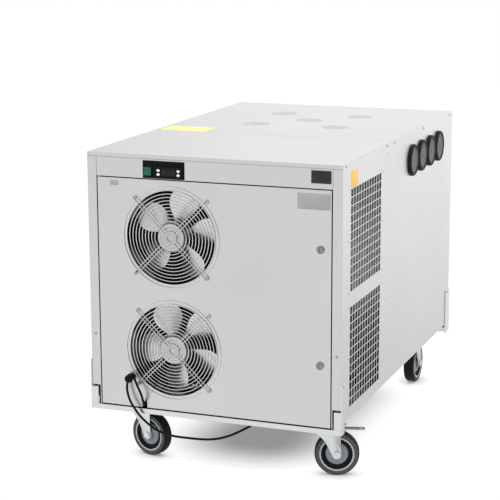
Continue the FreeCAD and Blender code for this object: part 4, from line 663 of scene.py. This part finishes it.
def rotorOf(name, blade):
    centre = fanCentre(name)
    share = np.sin(np.linspace(0, math.pi / 2, 33))
    radius = blade["root"] + (blade["tip"] - blade["root"]) * share
    # A petal: its half turn grows as a sine to the widest place, then rounds off as an ellipse.
    narrow, widest = (math.radians(blade[key] / 2) for key in ("rootSpan", "span"))
    opening = narrow + (widest - narrow) * np.sin(math.pi / 2 * np.minimum(share / blade["wide"], 1))
    past = np.clip((share - blade["wide"]) / (1 - blade["wide"]), 0, 1) * blade["tipShare"]
    halfSpan = np.where(share < blade["wide"], opening, widest * np.sqrt(1 - past ** 2))
    across = np.linspace(-1, 1, 25)
    angle = halfSpan[:, None] * across[None, :]
    part = angle / math.radians(blade["span"]) + 0.5
    depth = blade["front"] + blade["rise"] * (1 - part) - 4 * blade["camber"] * part * (1 - part)
    # The back skin follows the front one a sheet's thickness behind it, and both meet at the rim.
    edge = np.clip((1 - np.abs(across)) / blade["rimWide"], 0, 1)
    front = np.stack([radius[:, None] * np.cos(angle), depth, radius[:, None] * np.sin(angle)], -1)
    back = front.copy()
    back[..., 1] += blade["thick"] * (blade["rimShare"] + (1 - blade["rimShare"]) * np.sqrt(edge))
    loop = np.concatenate([front, back[:, ::-1]], 1)
    middleLine = (front + back) / 2
    capFirst = np.concatenate([middleLine[:1], middleLine[:1, ::-1]], 1)
    capLast = np.concatenate([middleLine[-1:], middleLine[-1:, ::-1]], 1)
    skin = np.concatenate([capFirst, loop, capLast])
    patches = []
    for number in range(blade["count"]):
        turn = math.radians(blade["phase"][name] + 360 * number / blade["count"])
        spun = skin.copy()
        spun[..., 0] = skin[..., 0] * math.cos(turn) - skin[..., 2] * math.sin(turn)
        spun[..., 2] = skin[..., 0] * math.sin(turn) + skin[..., 2] * math.cos(turn)
        patches.append((centre + spun, False, True, 0))
    patches.append((turned(hubShape, centre, (0, 1, 0), 64), True, False, 1))
    patches.append((turned(shaftShape, centre, (0, 1, 0), 24), True, False, 1))
    addPiece("fanBlades_" + name, patches, [bladeMetal, motorMetal], "fan_" + name, ["fan_rotor_" + name],
             sharp=40)


for name in ("upper", "lower"):
    rotorOf(name, bladeShape)
print("fans made")


def islandsOf(node):
    # The lowest and highest corner of each separate solid in a CAD node. Points that share a place or
    # an edge pass on the lowest of their numbers until nothing changes.
    mesh = nodes[node].data
    spots = np.empty(len(mesh.vertices) * 3)
    mesh.vertices.foreach_get("co", spots)
    spots = spots.reshape(-1, 3)
    ends = np.empty(len(mesh.edges) * 2, np.int32)
    mesh.edges.foreach_get("vertices", ends)
    ends = ends.reshape(-1, 2)
    same = np.unique(np.round(spots, 6), axis=0, return_inverse=True)[1].ravel()
    label = np.arange(same.max() + 1)
    first, last = same[ends[:, 0]], same[ends[:, 1]]
    changed = True
    while changed:
        least = np.minimum(label[first], label[last])
        before = label.copy()
        np.minimum.at(label, first, least)
        np.minimum.at(label, last, least)
        changed = bool((label != before).any())
    label = label[same]
    found = []
    for mark in np.unique(label):
        held = spots[label == mark]
        found.append((held.min(0), held.max(0)))
    return found


# Screw heads, in shares of their height (wall, rim, recess) and of their radius (slot).
headShares = {"wall": 0.45, "rim": 0.42, "recess": 0.4, "slotHalf": 0.13, "slotReach": 0.6}
headLimits = {"deepest": 0.0009, "sunk": 0.0001}


def crossHead(centre, axis, radius, height):
    # A domed head with a cross recess: height falls off as the square of the distance from the middle.
    along, across, over = axisFrame(axis)
    ring = np.concatenate([[0.0], np.linspace(0.08, 0.92, 10), [0.97, 1.0, 1.0]]) * radius
    angle = np.linspace(0, 2 * math.pi, 48, endpoint=False)
    lift = height * (headShares["wall"] + (1 - headShares["wall"]) * (1 - (ring / radius) ** 2))
    lift[-2:] = height * headShares["rim"], -headLimits["sunk"]
    x = ring * np.cos(angle)[:, None]
    y = ring * np.sin(angle)[:, None]
    nearSlot = np.minimum(np.abs(x), np.abs(y)) < radius * headShares["slotHalf"]
    recess = min(height * headShares["recess"], headLimits["deepest"])
    z = lift - np.where(nearSlot & (ring < radius * headShares["slotReach"]), recess, 0.0)
    grid = np.asarray(centre) + x[..., None] * across + y[..., None] * over + z[..., None] * along
    return grid, True, False


def screwsOf(node, name, body, headHeight=None):
    # Each head takes its place, radius and facing from the CAD screw; the thin way is its axis.
    patches = []
    for low, high in islandsOf(node):
        size, middle = high - low, (low + high) / 2
        axis = 1 if headHeight else int(np.argmin(size))
        tall = headHeight or size[axis]
        outward = np.zeros(3)
        outward[axis] = -1.0 if axis == 1 else math.copysign(1.0, middle[0])
        foot = middle + outward * (size[axis] / 2 - tall)
        patches.append(crossHead(foot, outward, size[0 if axis else 1] / 2, tall))
    addPiece(name, patches, zinc, body, [node])


screwsOf("panel_screws", "panelScrewHeads", "housing")
screwsOf("guard_screws", "guardScrewHeads", "door", headHeight=0.0024)

# Python collars: soft-lipped black rubber rings round grey stoppers with a centre hole.
collarShape = [(-0.0120, 0.0360), (-0.0120, 0.0390), (-0.0113, 0.0397), (0.0000, 0.0397), (0.0000, 0.0455),
               (0.0007, 0.0464), (0.0060, 0.0464), (0.0085, 0.0455), (0.0100, 0.0434), (0.0105, 0.0412),
               (0.0102, 0.0385), (0.0090, 0.0368), (0.0070, 0.0360)]
stopperShape = [(-0.0060, 0.0), (-0.0060, 0.0350), (-0.0050, 0.0360), (0.0072, 0.0360), (0.0080, 0.0352),
                (0.0080, 0.0300), (0.0074, 0.0292), (0.0074, 0.0090), (0.0080, 0.0075), (0.0080, 0.0040),
                (0.0072, 0.0032), (0.0000, 0.0032), (0.0000, 0.0)]

stopperMiddles = [(low + high) / 2 for low, high in islandsOf("python_plugs")]
for name, shape, finish, closed, sharp, node in (
        ("collarRims", collarShape, collarRubber, True, 50, "python_collars"),
        ("collarStoppers", stopperShape, stopperRubber, False, 40, "python_plugs")):
    outlets = [(turned(shape, (coverHigh.x, middle[1], middle[2]), (1, 0, 0), 72), True, closed)
               for middle in stopperMiddles]
    addPiece(name, outlets, finish, "housing", [node], sharp=sharp)

# Cord hook: a ball on a waisted neck with a flared foot.
hookShape = [(-0.0370, 0.0), (-0.0367, 0.0030), (-0.0355, 0.0062), (-0.0330, 0.0092), (-0.0295, 0.0111),
             (-0.0255, 0.0115), (-0.0215, 0.0109), (-0.0180, 0.0092), (-0.0155, 0.0070), (-0.0135, 0.0055),
             (-0.0110, 0.0050), (-0.0050, 0.0050), (-0.0032, 0.0056), (-0.0020, 0.0078), (-0.0006, 0.0080),
             (0.0000, 0.0079), (0.0000, 0.0030), (0.0095, 0.0030), (0.0100, 0.0026), (0.0100, 0.0)]
hookMiddle = middleOf("cord_hook")
hookPatch = turned(hookShape, (hookMiddle[0], frontY, hookMiddle[2]), (0, 1, 0), 48)
addPiece("cordHookBall", [(hookPatch, True, False)], hookRubber, "door", ["cord_hook"], sharp=60)
print("small parts made")

# Casters: grey tyres with a darker tread on nylon rims, and pressed zinc forks with a ball race above.
# Each wheel profile is one side's, from the middle outwards, and is turned on both sides.
treadShape = [(0.0160, 0.0578), (0.0135, 0.0600), (0.0090, 0.0610), (0.0, 0.0611)]
tyreShape = [(0.0164, 0.0478), (0.0170, 0.0500), (0.0170, 0.0545), (0.0160, 0.0578)]
rimShape = [(0.0164, 0.0478), (0.0160, 0.0474), (0.0166, 0.0468), (0.0166, 0.0440), (0.0158, 0.0432)]
webShape = [(0.0158, 0.0432), (0.0085, 0.0420), (0.0062, 0.0395), (0.0060, 0.0330), (0.0072, 0.0312)]
capShape = [(0.0072, 0.0312), (0.0110, 0.0305), (0.0120, 0.0292), (0.0125, 0.0180), (0.0135, 0.0160),
            (0.0188, 0.0155), (0.0190, 0.0145), (0.0190, 0.00605)]
boreShape = [(0.0190, 0.00605), (0.0, 0.00605), (-0.0190, 0.00605)]
wheelParts = ((tyreShape, tyreRubber), (rimShape, rimPlastic), (webShape, webPlastic), (capShape, hubPlastic),
              (treadShape, treadRubber))


def wheelOf(corner, joint):
    centre, axis = np.array(joint["pos_m"]), np.array(joint["axis"])
    patches = [(turned(np.array(shape) * (side, 1), centre, axis, 72), True, False, mark)
               for mark, (shape, _) in enumerate(wheelParts) for side in (1, -1)]
    patches.append((turned(boreShape, centre, axis, 72), True, False, 3))
    addPiece("casterWheel_" + corner, patches, [finish for _, finish in wheelParts], "wheel_" + corner,
             ["caster_wheel_" + corner])


# Fork: measured ahead of the swivel pin and above the floor. The leg's edges are points between the
# crown and the arc round the axle, and profiles are (distance along the axis, radius) pairs.
forkShape = {"trail": 0.038, "legInside": 0.0196, "legThick": 0.003, "legSoft": 0.0008, "crownBottom": 0.1391,
             "wheel": 0.061, "footRadius": 0.0125, "footArc": (200, 345), "legHub": (0.024, 0.108),
             "frontEdge": [(-0.025, 0.126), (0.004, 0.102)], "backEdge": [(0.049, 0.085), (0.048, 0.125)],
             "crownFront": -0.026, "crownBack": 0.048, "frontBend": 0.02, "backBend": 0.012,
             "yoke": {"length": 0.074, "ahead": 0.011, "corner": 0.006, "thick": 0.003, "soft": 0.0009},
             "tongue": {"length": 0.018, "width": 0.022, "ahead": 0.053, "corner": 0.004, "thick": 0.0025,
                        "soft": 0.0006}}
raceShape = [(0.0, 0.0), (0.0, 0.0325), (0.0012, 0.0340), (0.0045, 0.0338), (0.0075, 0.0318),
             (0.0090, 0.0290), (0.0120, 0.0278), (0.0136, 0.0265), (0.0140, 0.0245), (0.0140, 0.0090),
             (0.0176, 0.0090), (0.0176, 0.0)]
nutShape = [(-0.0105, 0.0), (-0.0105, 0.0085), (-0.0095, 0.0098), (0.0, 0.0098), (0.0, 0.0)]
# The bolt's two heads, by their distance beyond the legs.
boltHead = [(0.0045, 0.0), (0.0045, 0.0084), (0.0037, 0.0095), (0.0, 0.0095), (0.0, 0.0060)]


def forkOutline(fork):
    # Two edges whose corners are curves, joined below by an arc of the foot's radius round the axle.
    crown = fork["crownBottom"]
    bend = np.radians(np.linspace(*fork["footArc"], 14))
    arc = np.stack([fork["trail"] + fork["footRadius"] * np.cos(bend),
                    fork["wheel"] + fork["footRadius"] * np.sin(bend)], -1)
    front = smoothCorner([(fork["crownFront"], crown), *fork["frontEdge"], arc[0]], fork["frontBend"], 6)
    back = smoothCorner([arc[-1], *fork["backEdge"], (fork["crownBack"], crown)], fork["backBend"])
    return np.vstack([front[:-1], arc, back[1:]])


def forkOf(corner, swivel, roll, fork):
    pivot = np.array([swivel["pos_m"][0], swivel["pos_m"][1], 0.0])
    trail = np.array(roll["pos_m"]) - pivot
    forward = np.array([trail[0], trail[1], 0.0]) / np.linalg.norm(trail[:2])
    up = np.array([0.0, 0.0, 1.0])
    side = np.cross(up, forward)
    outside = fork["legInside"] + fork["legThick"]
    crown = fork["crownBottom"]
    patches = [slab(forkOutline(fork), fork["legHub"], (forward, up, side), pivot, low,
                    low + fork["legThick"], fork["legSoft"]) for low in (fork["legInside"], -outside)]
    for plate in (dict(fork["yoke"], width=2 * outside), fork["tongue"]):
        outline = roundedBox(plate["length"], plate["width"], plate["corner"]) + (plate["ahead"], 0.0)
        patches.append(slab(outline, (plate["ahead"], 0.0), (forward, side, up), pivot, crown,
                            crown + plate["thick"], plate["soft"]))
    patches.append((turned(raceShape, pivot + up * crown, up, 72), True, False))
    patches.append((turned(nutShape, pivot + up * crown, up, 6), True, False))
    axle = pivot + forward * fork["trail"] + up * fork["wheel"]
    bolt = [(-outside - out, radius) for out, radius in boltHead]
    bolt += [(-out, radius) for out, radius in reversed(bolt)]
    patches.append((turned(bolt, axle, side, 24), True, False))
    addPiece("casterFork_" + corner, patches, forkPlate, "fork_" + corner, ["caster_fork_" + corner],
             sharp=35)


joints = {joint["name"]: joint for joint in frame["joints"]}
for corner in ("front_left", "front_right", "rear_left", "rear_right"):
    wheelOf(corner, joints["roll_" + corner])
    forkOf(corner, joints["swivel_" + corner], joints["roll_" + corner], forkShape)
print("casters made")

# Bare plates and labels: thin, round-cornered, sunk a little into the sheet that they lie on. A place
# is counted from the cabinet's middle, its front and down from its top.
flatAxes = {"front": ((1, 0, 0), (0, 0, 1), (0, -1, 0)), "side": ((0, 1, 0), (0, 0, 1), (1, 0, 0)),
            "top": ((1, 0, 0), (0, 1, 0), (0, 0, 1))}
thinFilm = {"facing": "front", "height": 0.0003, "soft": 0.00012, "turn": 0.0, "slot": "grey_box",
            "body": "housing"}
badgeStack = dict(thinFilm, place=(0.30215, 0.0, 0.03265))
doorFilm = dict(thinFilm, finish=greyFilm, body="door")
flatPieces = {
    "badgeRim": dict(badgeStack, size=(0.0563, 0.0357), height=0.0008, soft=0.00032, corner=0.0015,
                     finish=zinc, slot="stainless"),
    "badgePlate": dict(badgeStack, size=(0.0539, 0.0333), height=0.0010, soft=0.0004, corner=0.001,
                       finish=badgeFilm, slot="black_plastic"),
    "doorLabelSmall": dict(doorFilm, place=(-0.28135, 0.0, 0.08), size=(0.0245, 0.0138), corner=0.0012),
    "doorLabelWide": dict(doorFilm, place=(0.283, 0.0, 0.09685), size=(0.09, 0.0423), corner=0.0015),
    "sideLabel": dict(thinFilm, facing="side", place=(0.360, 0.099, 0.0475), size=(0.058, 0.045),
                      corner=0.002, finish=amber),
    "lidLabel": dict(thinFilm, facing="top", place=(-0.277, 0.498, 0.0), size=(0.142, 0.082), corner=0.003,
                     turn=-2.0, finish=paleYellow),
    # The display's pane is a smoked sheet set just behind the bezel's face.
    "displayPane": dict(thinFilm, size=(0.0379, 0.0194), corner=0.001, soft=0.0001, finish=displayGlass,
                        slot="black_plastic"),
}
displayOffset = {"behind": 0.0006, "above": 0.0019}
boxLow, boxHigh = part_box("thermostat")
flatPieces["displayPane"]["place"] = (
    (boxLow.x + boxHigh.x) / 2 - middleX, boxLow.y + displayOffset["behind"] - frontY,
    cabinet["top"] - (boxLow.z + boxHigh.z) / 2 - displayOffset["above"])


def flatPiece(name, plate, sunk=0.0004):
    x, y, drop = plate["place"]
    first, second, normal = (np.array(axis, float) for axis in flatAxes[plate["facing"]])
    turn = math.radians(plate["turn"])
    axes = (first * math.cos(turn) + second * math.sin(turn),
            second * math.cos(turn) - first * math.sin(turn), normal)
    skin = slab(roundedBox(*plate["size"], plate["corner"]), (0, 0), axes, at(x, y, cabinet["top"] - drop),
                -sunk, plate["height"], plate["soft"])
    addPiece(name, [skin], plate["finish"], plate["body"], slot=plate["slot"])


for name, plate in flatPieces.items():
    flatPiece(name, plate)

# Black blocks of painted shade, standing in for the shadow in the gap under the door on the base
# rail and beside the posts in the cut-outs at the stiles' feet. Each is a block with rolled rims.
gapShadeBlocks = {"soft": 0.0004, "under": 0.0003, "tall": 0.0024, "front": -0.0012, "back": 0.014,
        "footFront": 0.0012, "footBack": 0.006, "footGap": 0.0004, "footTall": 0.05,
        "feet": {"left": (-0.3405, -0.3363), "right": (0.3363, 0.3405)}}


def gapShadeBlock(name, low, high):
    low, high = np.array(low), np.array(high)
    size, soft = high - low, gapShadeBlocks["soft"]
    skin = slab(roundedBox(size[0], size[2], soft * 1.5, 4), (0, 0), flatAxes["front"], (low + high) / 2,
                -size[1] / 2, size[1] / 2, soft)
    addPiece(name, [skin], gapShadeBlack, "housing", slot="black_plastic")


sillTop = doorLow[2] - gapShadeBlocks["under"]
railTop = sillTop - gapShadeBlocks["tall"]
gapShadeBlock("sillGapShade", (doorLow[0], frontY + gapShadeBlocks["front"], railTop),
          (doorHigh[0], frontY + gapShadeBlocks["back"], sillTop))
for side, (left, right) in gapShadeBlocks["feet"].items():
    gapShadeBlock("footGapShade_" + side, at(left, gapShadeBlocks["footFront"], railTop + gapShadeBlocks["footGap"]),
              at(right, gapShadeBlocks["footBack"], railTop + gapShadeBlocks["footTall"]))
print("labels, display and seals made")


def ribbed(sleeve):
    # A tapering sleeve: its radius runs evenly from first to last, less a groove wherever the sine
    # of the ribs is above a level.
    share = np.linspace(0, 1, sleeve["steps"])
    grooves = np.sin(share * sleeve["ribs"] * 2 * math.pi) > sleeve["level"]
    radius = sleeve["first"] + (sleeve["last"] - sleeve["first"]) * share - sleeve["groove"] * grooves
    return [(0.0, 0.0), *zip(share * sleeve["length"], radius)]


# Plug: a soft moulded body with a ribbed neck and two round pins, lying beside the coil. The body's
# corners are (distance past the neck, radius), and the pin's are (distance past the body, radius).
plugNeck = {"length": 0.034, "first": 0.0042, "last": 0.007, "ribs": 7, "groove": 0.0009, "level": 0.3,
            "steps": 29}
plugShape = {"body": [(0.0, 0.007), (0.004, 0.0130), (0.016, 0.0185), (0.039, 0.0185), (0.040, 0.0165),
                      (0.040, 0.0)],
             "length": 0.040, "soft": 0.004, "pinSpread": 0.019,
             "pin": [(-0.001, 0.0), (-0.001, 0.0024), (0.017, 0.0024), (0.0184, 0.0017), (0.019, 0.0009),
                     (0.019, 0.0)]}


def plugOf(neck, plug, start, way):
    body = smoothCorner(np.array(plug["body"]) + (neck["length"], 0.0), plug["soft"])
    patches = [(turned(np.vstack([ribbed(neck), body[1:]]), start, way, 48), True, False, 0)]
    side = np.array([-way[1], way[0], 0.0])
    end = start + way * (neck["length"] + plug["length"])
    for sign in (-1, 1):
        foot = end + side * sign * plug["pinSpread"] / 2
        patches.append((turned(plug["pin"], foot, way, 20), True, False, 1))
    addPiece("mainsPlugBody", patches, [plugRubber, chrome], "housing", ["mains_plug"], sharp=45)


plugWay = (allCordPoints[-1] - allCordPoints[-3]) * (1, 1, 0)
plugOf(plugNeck, plugShape, allCordPoints[-1], plugWay / np.linalg.norm(plugWay))

# Gland: a ribbed sleeve that narrows towards the cord, on a small foot.
glandShape = {"length": 0.020, "first": 0.0054, "last": 0.00455, "ribs": 5, "groove": 0.0006, "level": 0.4,
              "steps": 33, "mouth": 0.0033, "dish": 0.002, "foot": (0.007, 0.0105, 0.001),
              "footBack": 0.00175, "footBottom": 0.171, "soft": 0.0004}


def glandOf(gland, cordStart, way):
    length = gland["length"]
    profile = [*ribbed(gland), (length, gland["mouth"]), (length - gland["dish"], 0.0)]
    start = cordStart - way * length
    foot = (start[0], start[1] + gland["footBack"], gland["footBottom"])
    patches = [(turned(profile, start, way, 32), True, False),
               slab(roundedBox(*gland["foot"]), (0, 0), flatAxes["top"], foot, 0.0, start[2] - foot[2],
                    gland["soft"])]
    addPiece("glandSleeve", patches, plugRubber, "housing", ["cord_gland"], sharp=45)


glandWay = allCordPoints[1] - allCordPoints[0]
glandOf(glandShape, allCordPoints[0], glandWay / np.linalg.norm(glandWay))

# Tie: a black woven hook-and-loop band wrapped once round the coil's bundle. Its section is the room
# between two rounded boxes, carried straight over the band's width.
tieBand = {"width": 0.012, "thick": 0.0011, "reach": 0.0152, "rise": 0.0072, "corner": 0.005, "angle": 235.0}


def tieOf(band, lead):
    bundle = lead["outer"] - lead["step"] * (lead["loops"] - lead["shortTurn"]) / 2
    inside, outside = (roundedBox(2 * (band["reach"] + wall), 2 * (band["rise"] + wall),
                                  band["corner"] + wall, 8) for wall in (0.0, band["thick"]))
    middle = np.array([routePoints[-1][0] - lead["outer"], routePoints[-1][1], 0.0])
    turn = math.radians(band["angle"])
    outward = np.array([math.cos(turn), math.sin(turn), 0.0])
    along = np.array([-outward[1], outward[0], 0.0])
    half = band["width"] / 2
    height = band["rise"] + band["thick"] + lead["floorGap"]
    skin = np.stack([middle + outward * (bundle + flat[:, :1]) + along * shift
                     + np.array([0.0, 0.0, 1.0]) * (height + flat[:, 1:])
                     for flat, shift in ((inside, -half), (inside, half), (outside, half), (outside, -half))])
    addPiece("cordTieBand", [(skin, True, True)], plugRubber, "housing", slot="cord_rubber")


tieOf(tieBand, cordLead)
print("cord parts made")

# Stage: a white floor. The camera sees the tone of the shade that a box over it leaves, set by the
# distance from a rectangle "inset" inside the cooler's footprint, and darker where something is
# close. All other rays meet a matt floor.
floorShade = {"half": 9.0, "below": 0.0002, "inset": 0.34, "near": 0.05, "far": 0.3, "dark": 0.3,
              "white": 1.02, "contact": 0.07, "open": (0.1, 0.85), "closest": 0.2,
              "matt": (0.8, 0.8, 0.8, 1.0)}


def makeFloor(shade):
    half, below = shade["half"], -shade["below"]
    mesh = bpy.data.meshes.new("whiteFloor")
    mesh.from_pydata([(x * half, y * half, below) for x, y in ((-1, -1), (1, -1), (1, 1), (-1, 1))], [],
                     [(0, 1, 2, 3)])
    floor = bpy.data.objects.new("whiteFloor", mesh)
    bpy.context.collection.objects.link(floor)
    finish = bpy.data.materials.new("whiteStudioFloor")
    finish.use_nodes = True
    tree = finish.node_tree
    tree.nodes.clear()
    # Distance from the rectangle: the length of what the spot lies beyond it both ways.
    zero = (0.0, 0.0, 0.0)
    inner = (cabinet["width"] / 2 - shade["inset"], -frontY - shade["inset"], 1.0)
    spot = (addNode(tree, "ShaderNodeNewGeometry"), "Position")
    for step, other in (("ABSOLUTE", zero), ("SUBTRACT", inner), ("MAXIMUM", zero)):
        spot = (addNode(tree, "ShaderNodeVectorMath", {"operation": step}, {0: spot, 1: other}), "Vector")
    distance = addNode(tree, "ShaderNodeVectorMath", {"operation": "LENGTH"}, {0: spot})
    tone = addNode(tree, "ShaderNodeMapRange", {"clamp": True, "interpolation_type": "SMOOTHSTEP"},
                   {"Value": (distance, "Value"), "From Min": shade["near"], "From Max": shade["far"],
                    "To Min": shade["dark"], "To Max": shade["white"]})
    closeness = addNode(tree, "ShaderNodeAmbientOcclusion", {"samples": 8}, {"Distance": shade["contact"]})
    touch = addNode(tree, "ShaderNodeMapRange", {"clamp": True},
                    {"Value": (closeness, "AO"), "From Min": shade["open"][0], "From Max": shade["open"][1],
                     "To Min": shade["closest"], "To Max": 1.0})
    product = addNode(tree, "ShaderNodeMath", {"operation": "MULTIPLY"},
                      {0: (tone, "Result"), 1: (touch, "Result")})
    glow = addNode(tree, "ShaderNodeEmission", None, {"Strength": (product, "Value")})
    matt = addNode(tree, "ShaderNodeBsdfDiffuse", None, {"Color": shade["matt"]})
    seen = addNode(tree, "ShaderNodeMixShader", None,
                   {0: (addNode(tree, "ShaderNodeLightPath"), "Is Camera Ray"), 1: (matt, "BSDF"),
                    2: (glow, "Emission")})
    addNode(tree, "ShaderNodeOutputMaterial", None, {"Surface": (seen, "Shader")})
    mesh.materials.append(finish)
    floor.visible_glossy = False
    return floor


stageFloor = makeFloor(floorShade)

# Room: what glossy rays see is a soft white room. Each curve gives its tone by height, as (sine of the
# elevation, tone), first in front of the cooler, then behind it; the two blend by the ray's Y. Behind
# the cooler the far left is darker still. The camera sees white, and matt surfaces a light grey.
room = {"front": ((-1.0, 0.88), (-0.36, 0.94), (-0.25, 1.05), (-0.17, 0.96), (-0.11, 0.86), (0.05, 0.7),
                  (1.0, 0.76)),
        "behind": ((-1.0, 0.63), (-0.32, 0.64), (-0.12, 1.3), (0.1, 1.18), (1.0, 1.1)),
        "edge": 0.31, "slope": 3.8, "least": 0.45, "most": 1.4, "matt": 0.7, "plain": 1.0}


def heightCurve(tree, height, points):
    # Float curves run from 0 to 1 both ways, so heights are halved and shifted, and tones halved.
    node = addNode(tree, "ShaderNodeFloatCurve", None, {"Value": height})
    line = node.mapping.curves[0]
    for place, (sine, tone) in enumerate(points):
        if place in (0, len(points) - 1):
            point = line.points[0 if place == 0 else -1]
            point.location = (sine / 2 + 0.5, tone / 2)
        else:
            point = line.points.new(sine / 2 + 0.5, tone / 2)
        point.handle_type = "VECTOR"
    node.mapping.update()
    return (node, "Value")


def makeRoom(look):
    world = bpy.data.worlds.new("whiteStudio")
    bpy.context.scene.world = world
    world.use_nodes = True
    tree = world.node_tree
    tree.nodes.clear()
    rays = addNode(tree, "ShaderNodeLightPath")
    split = addNode(tree, "ShaderNodeSeparateXYZ", None,
                    {"Vector": (addNode(tree, "ShaderNodeTexCoord"), "Generated")})
    height, backness = ((addNode(tree, "ShaderNodeMath", {"operation": "MULTIPLY_ADD"},
                                 {0: (split, axis), 1: 0.5, 2: 0.5}), "Value") for axis in "ZY")
    curves = addNode(tree, "ShaderNodeMapRange", {"clamp": False},
                     {"Value": backness, "To Min": heightCurve(tree, height, look["front"]),
                      "To Max": heightCurve(tree, height, look["behind"])})
    crossing = addNode(tree, "ShaderNodeMath", {"operation": "MULTIPLY_ADD"},
                       {0: (split, "X"), 1: (split, "Y"), 2: look["edge"]})
    past = addNode(tree, "ShaderNodeMath", {"operation": "MINIMUM"}, {0: (crossing, "Value"), 1: 0.0})
    doubled = addNode(tree, "ShaderNodeMath", {"operation": "MULTIPLY"}, {0: (curves, "Result"), 1: 2.0})
    tone = addNode(tree, "ShaderNodeMath", {"operation": "MULTIPLY_ADD"},
                   {0: (past, "Value"), 1: look["slope"], 2: (doubled, "Value")})
    limited = addNode(tree, "ShaderNodeClamp", None,
                      {"Value": (tone, "Value"), "Min": look["least"], "Max": look["most"]})
    shiny, matt, plain = ((addNode(tree, "ShaderNodeBackground", None,
                                   {"Color": (1.0, 1.0, 1.0, 1.0), "Strength": strength}), "Background")
                          for strength in ((limited, "Result"), look["matt"], look["plain"]))
    lit = addNode(tree, "ShaderNodeMixShader", None, {0: (rays, "Is Glossy Ray"), 1: matt, 2: shiny})
    straight = addNode(tree, "ShaderNodeMath", {"operation": "MAXIMUM"},
                       {0: (rays, "Is Camera Ray"), 1: (rays, "Is Transmission Ray")})
    seen = addNode(tree, "ShaderNodeMixShader", None, {0: (straight, "Value"), 1: (lit, "Shader"), 2: plain})
    addNode(tree, "ShaderNodeOutputWorld", None, {"Surface": (seen, "Shader")})


makeRoom(room)

# The lamps light matt surfaces; what metal mirrors is the room's own tones.
lamps = {
    "overheadSoftbox": {"place": (0.3, -0.6, 3.2), "aim": (0.0, 0.0, 0.4), "size": 2.6, "power": 60.0},
    "frontSoftbox": {"place": (-1.8, -3.6, 2.0), "aim": (0.0, 0.0, 0.4), "size": 2.0, "power": 45.0},
    "rightSoftbox": {"place": (3.4, 0.2, 1.8), "aim": (0.0, 0.0, 0.4), "size": 2.0, "power": 40.0},
    "machineRoomFill": {"place": (0.0, -0.37, 0.34), "aim": (0.0, 0.5, 0.34), "size": 0.45, "power": 3.0},
}


def makeLamp(name, lamp):
    light = bpy.data.lights.new(name, "AREA")
    light.size = lamp["size"]
    light.energy = lamp["power"]
    holder = bpy.data.objects.new(name, light)
    holder.location = lamp["place"]
    holder.visible_glossy = False
    holder.visible_camera = False
    aim = Vector(lamp["aim"]) - Vector(lamp["place"])
    holder.rotation_euler = aim.to_track_quat("-Z", "Y").to_euler()
    bpy.context.collection.objects.link(holder)


for name, lamp in lamps.items():
    makeLamp(name, lamp)
bpy.context.scene.view_settings.view_transform = "Standard"
print("stage and lamps set")
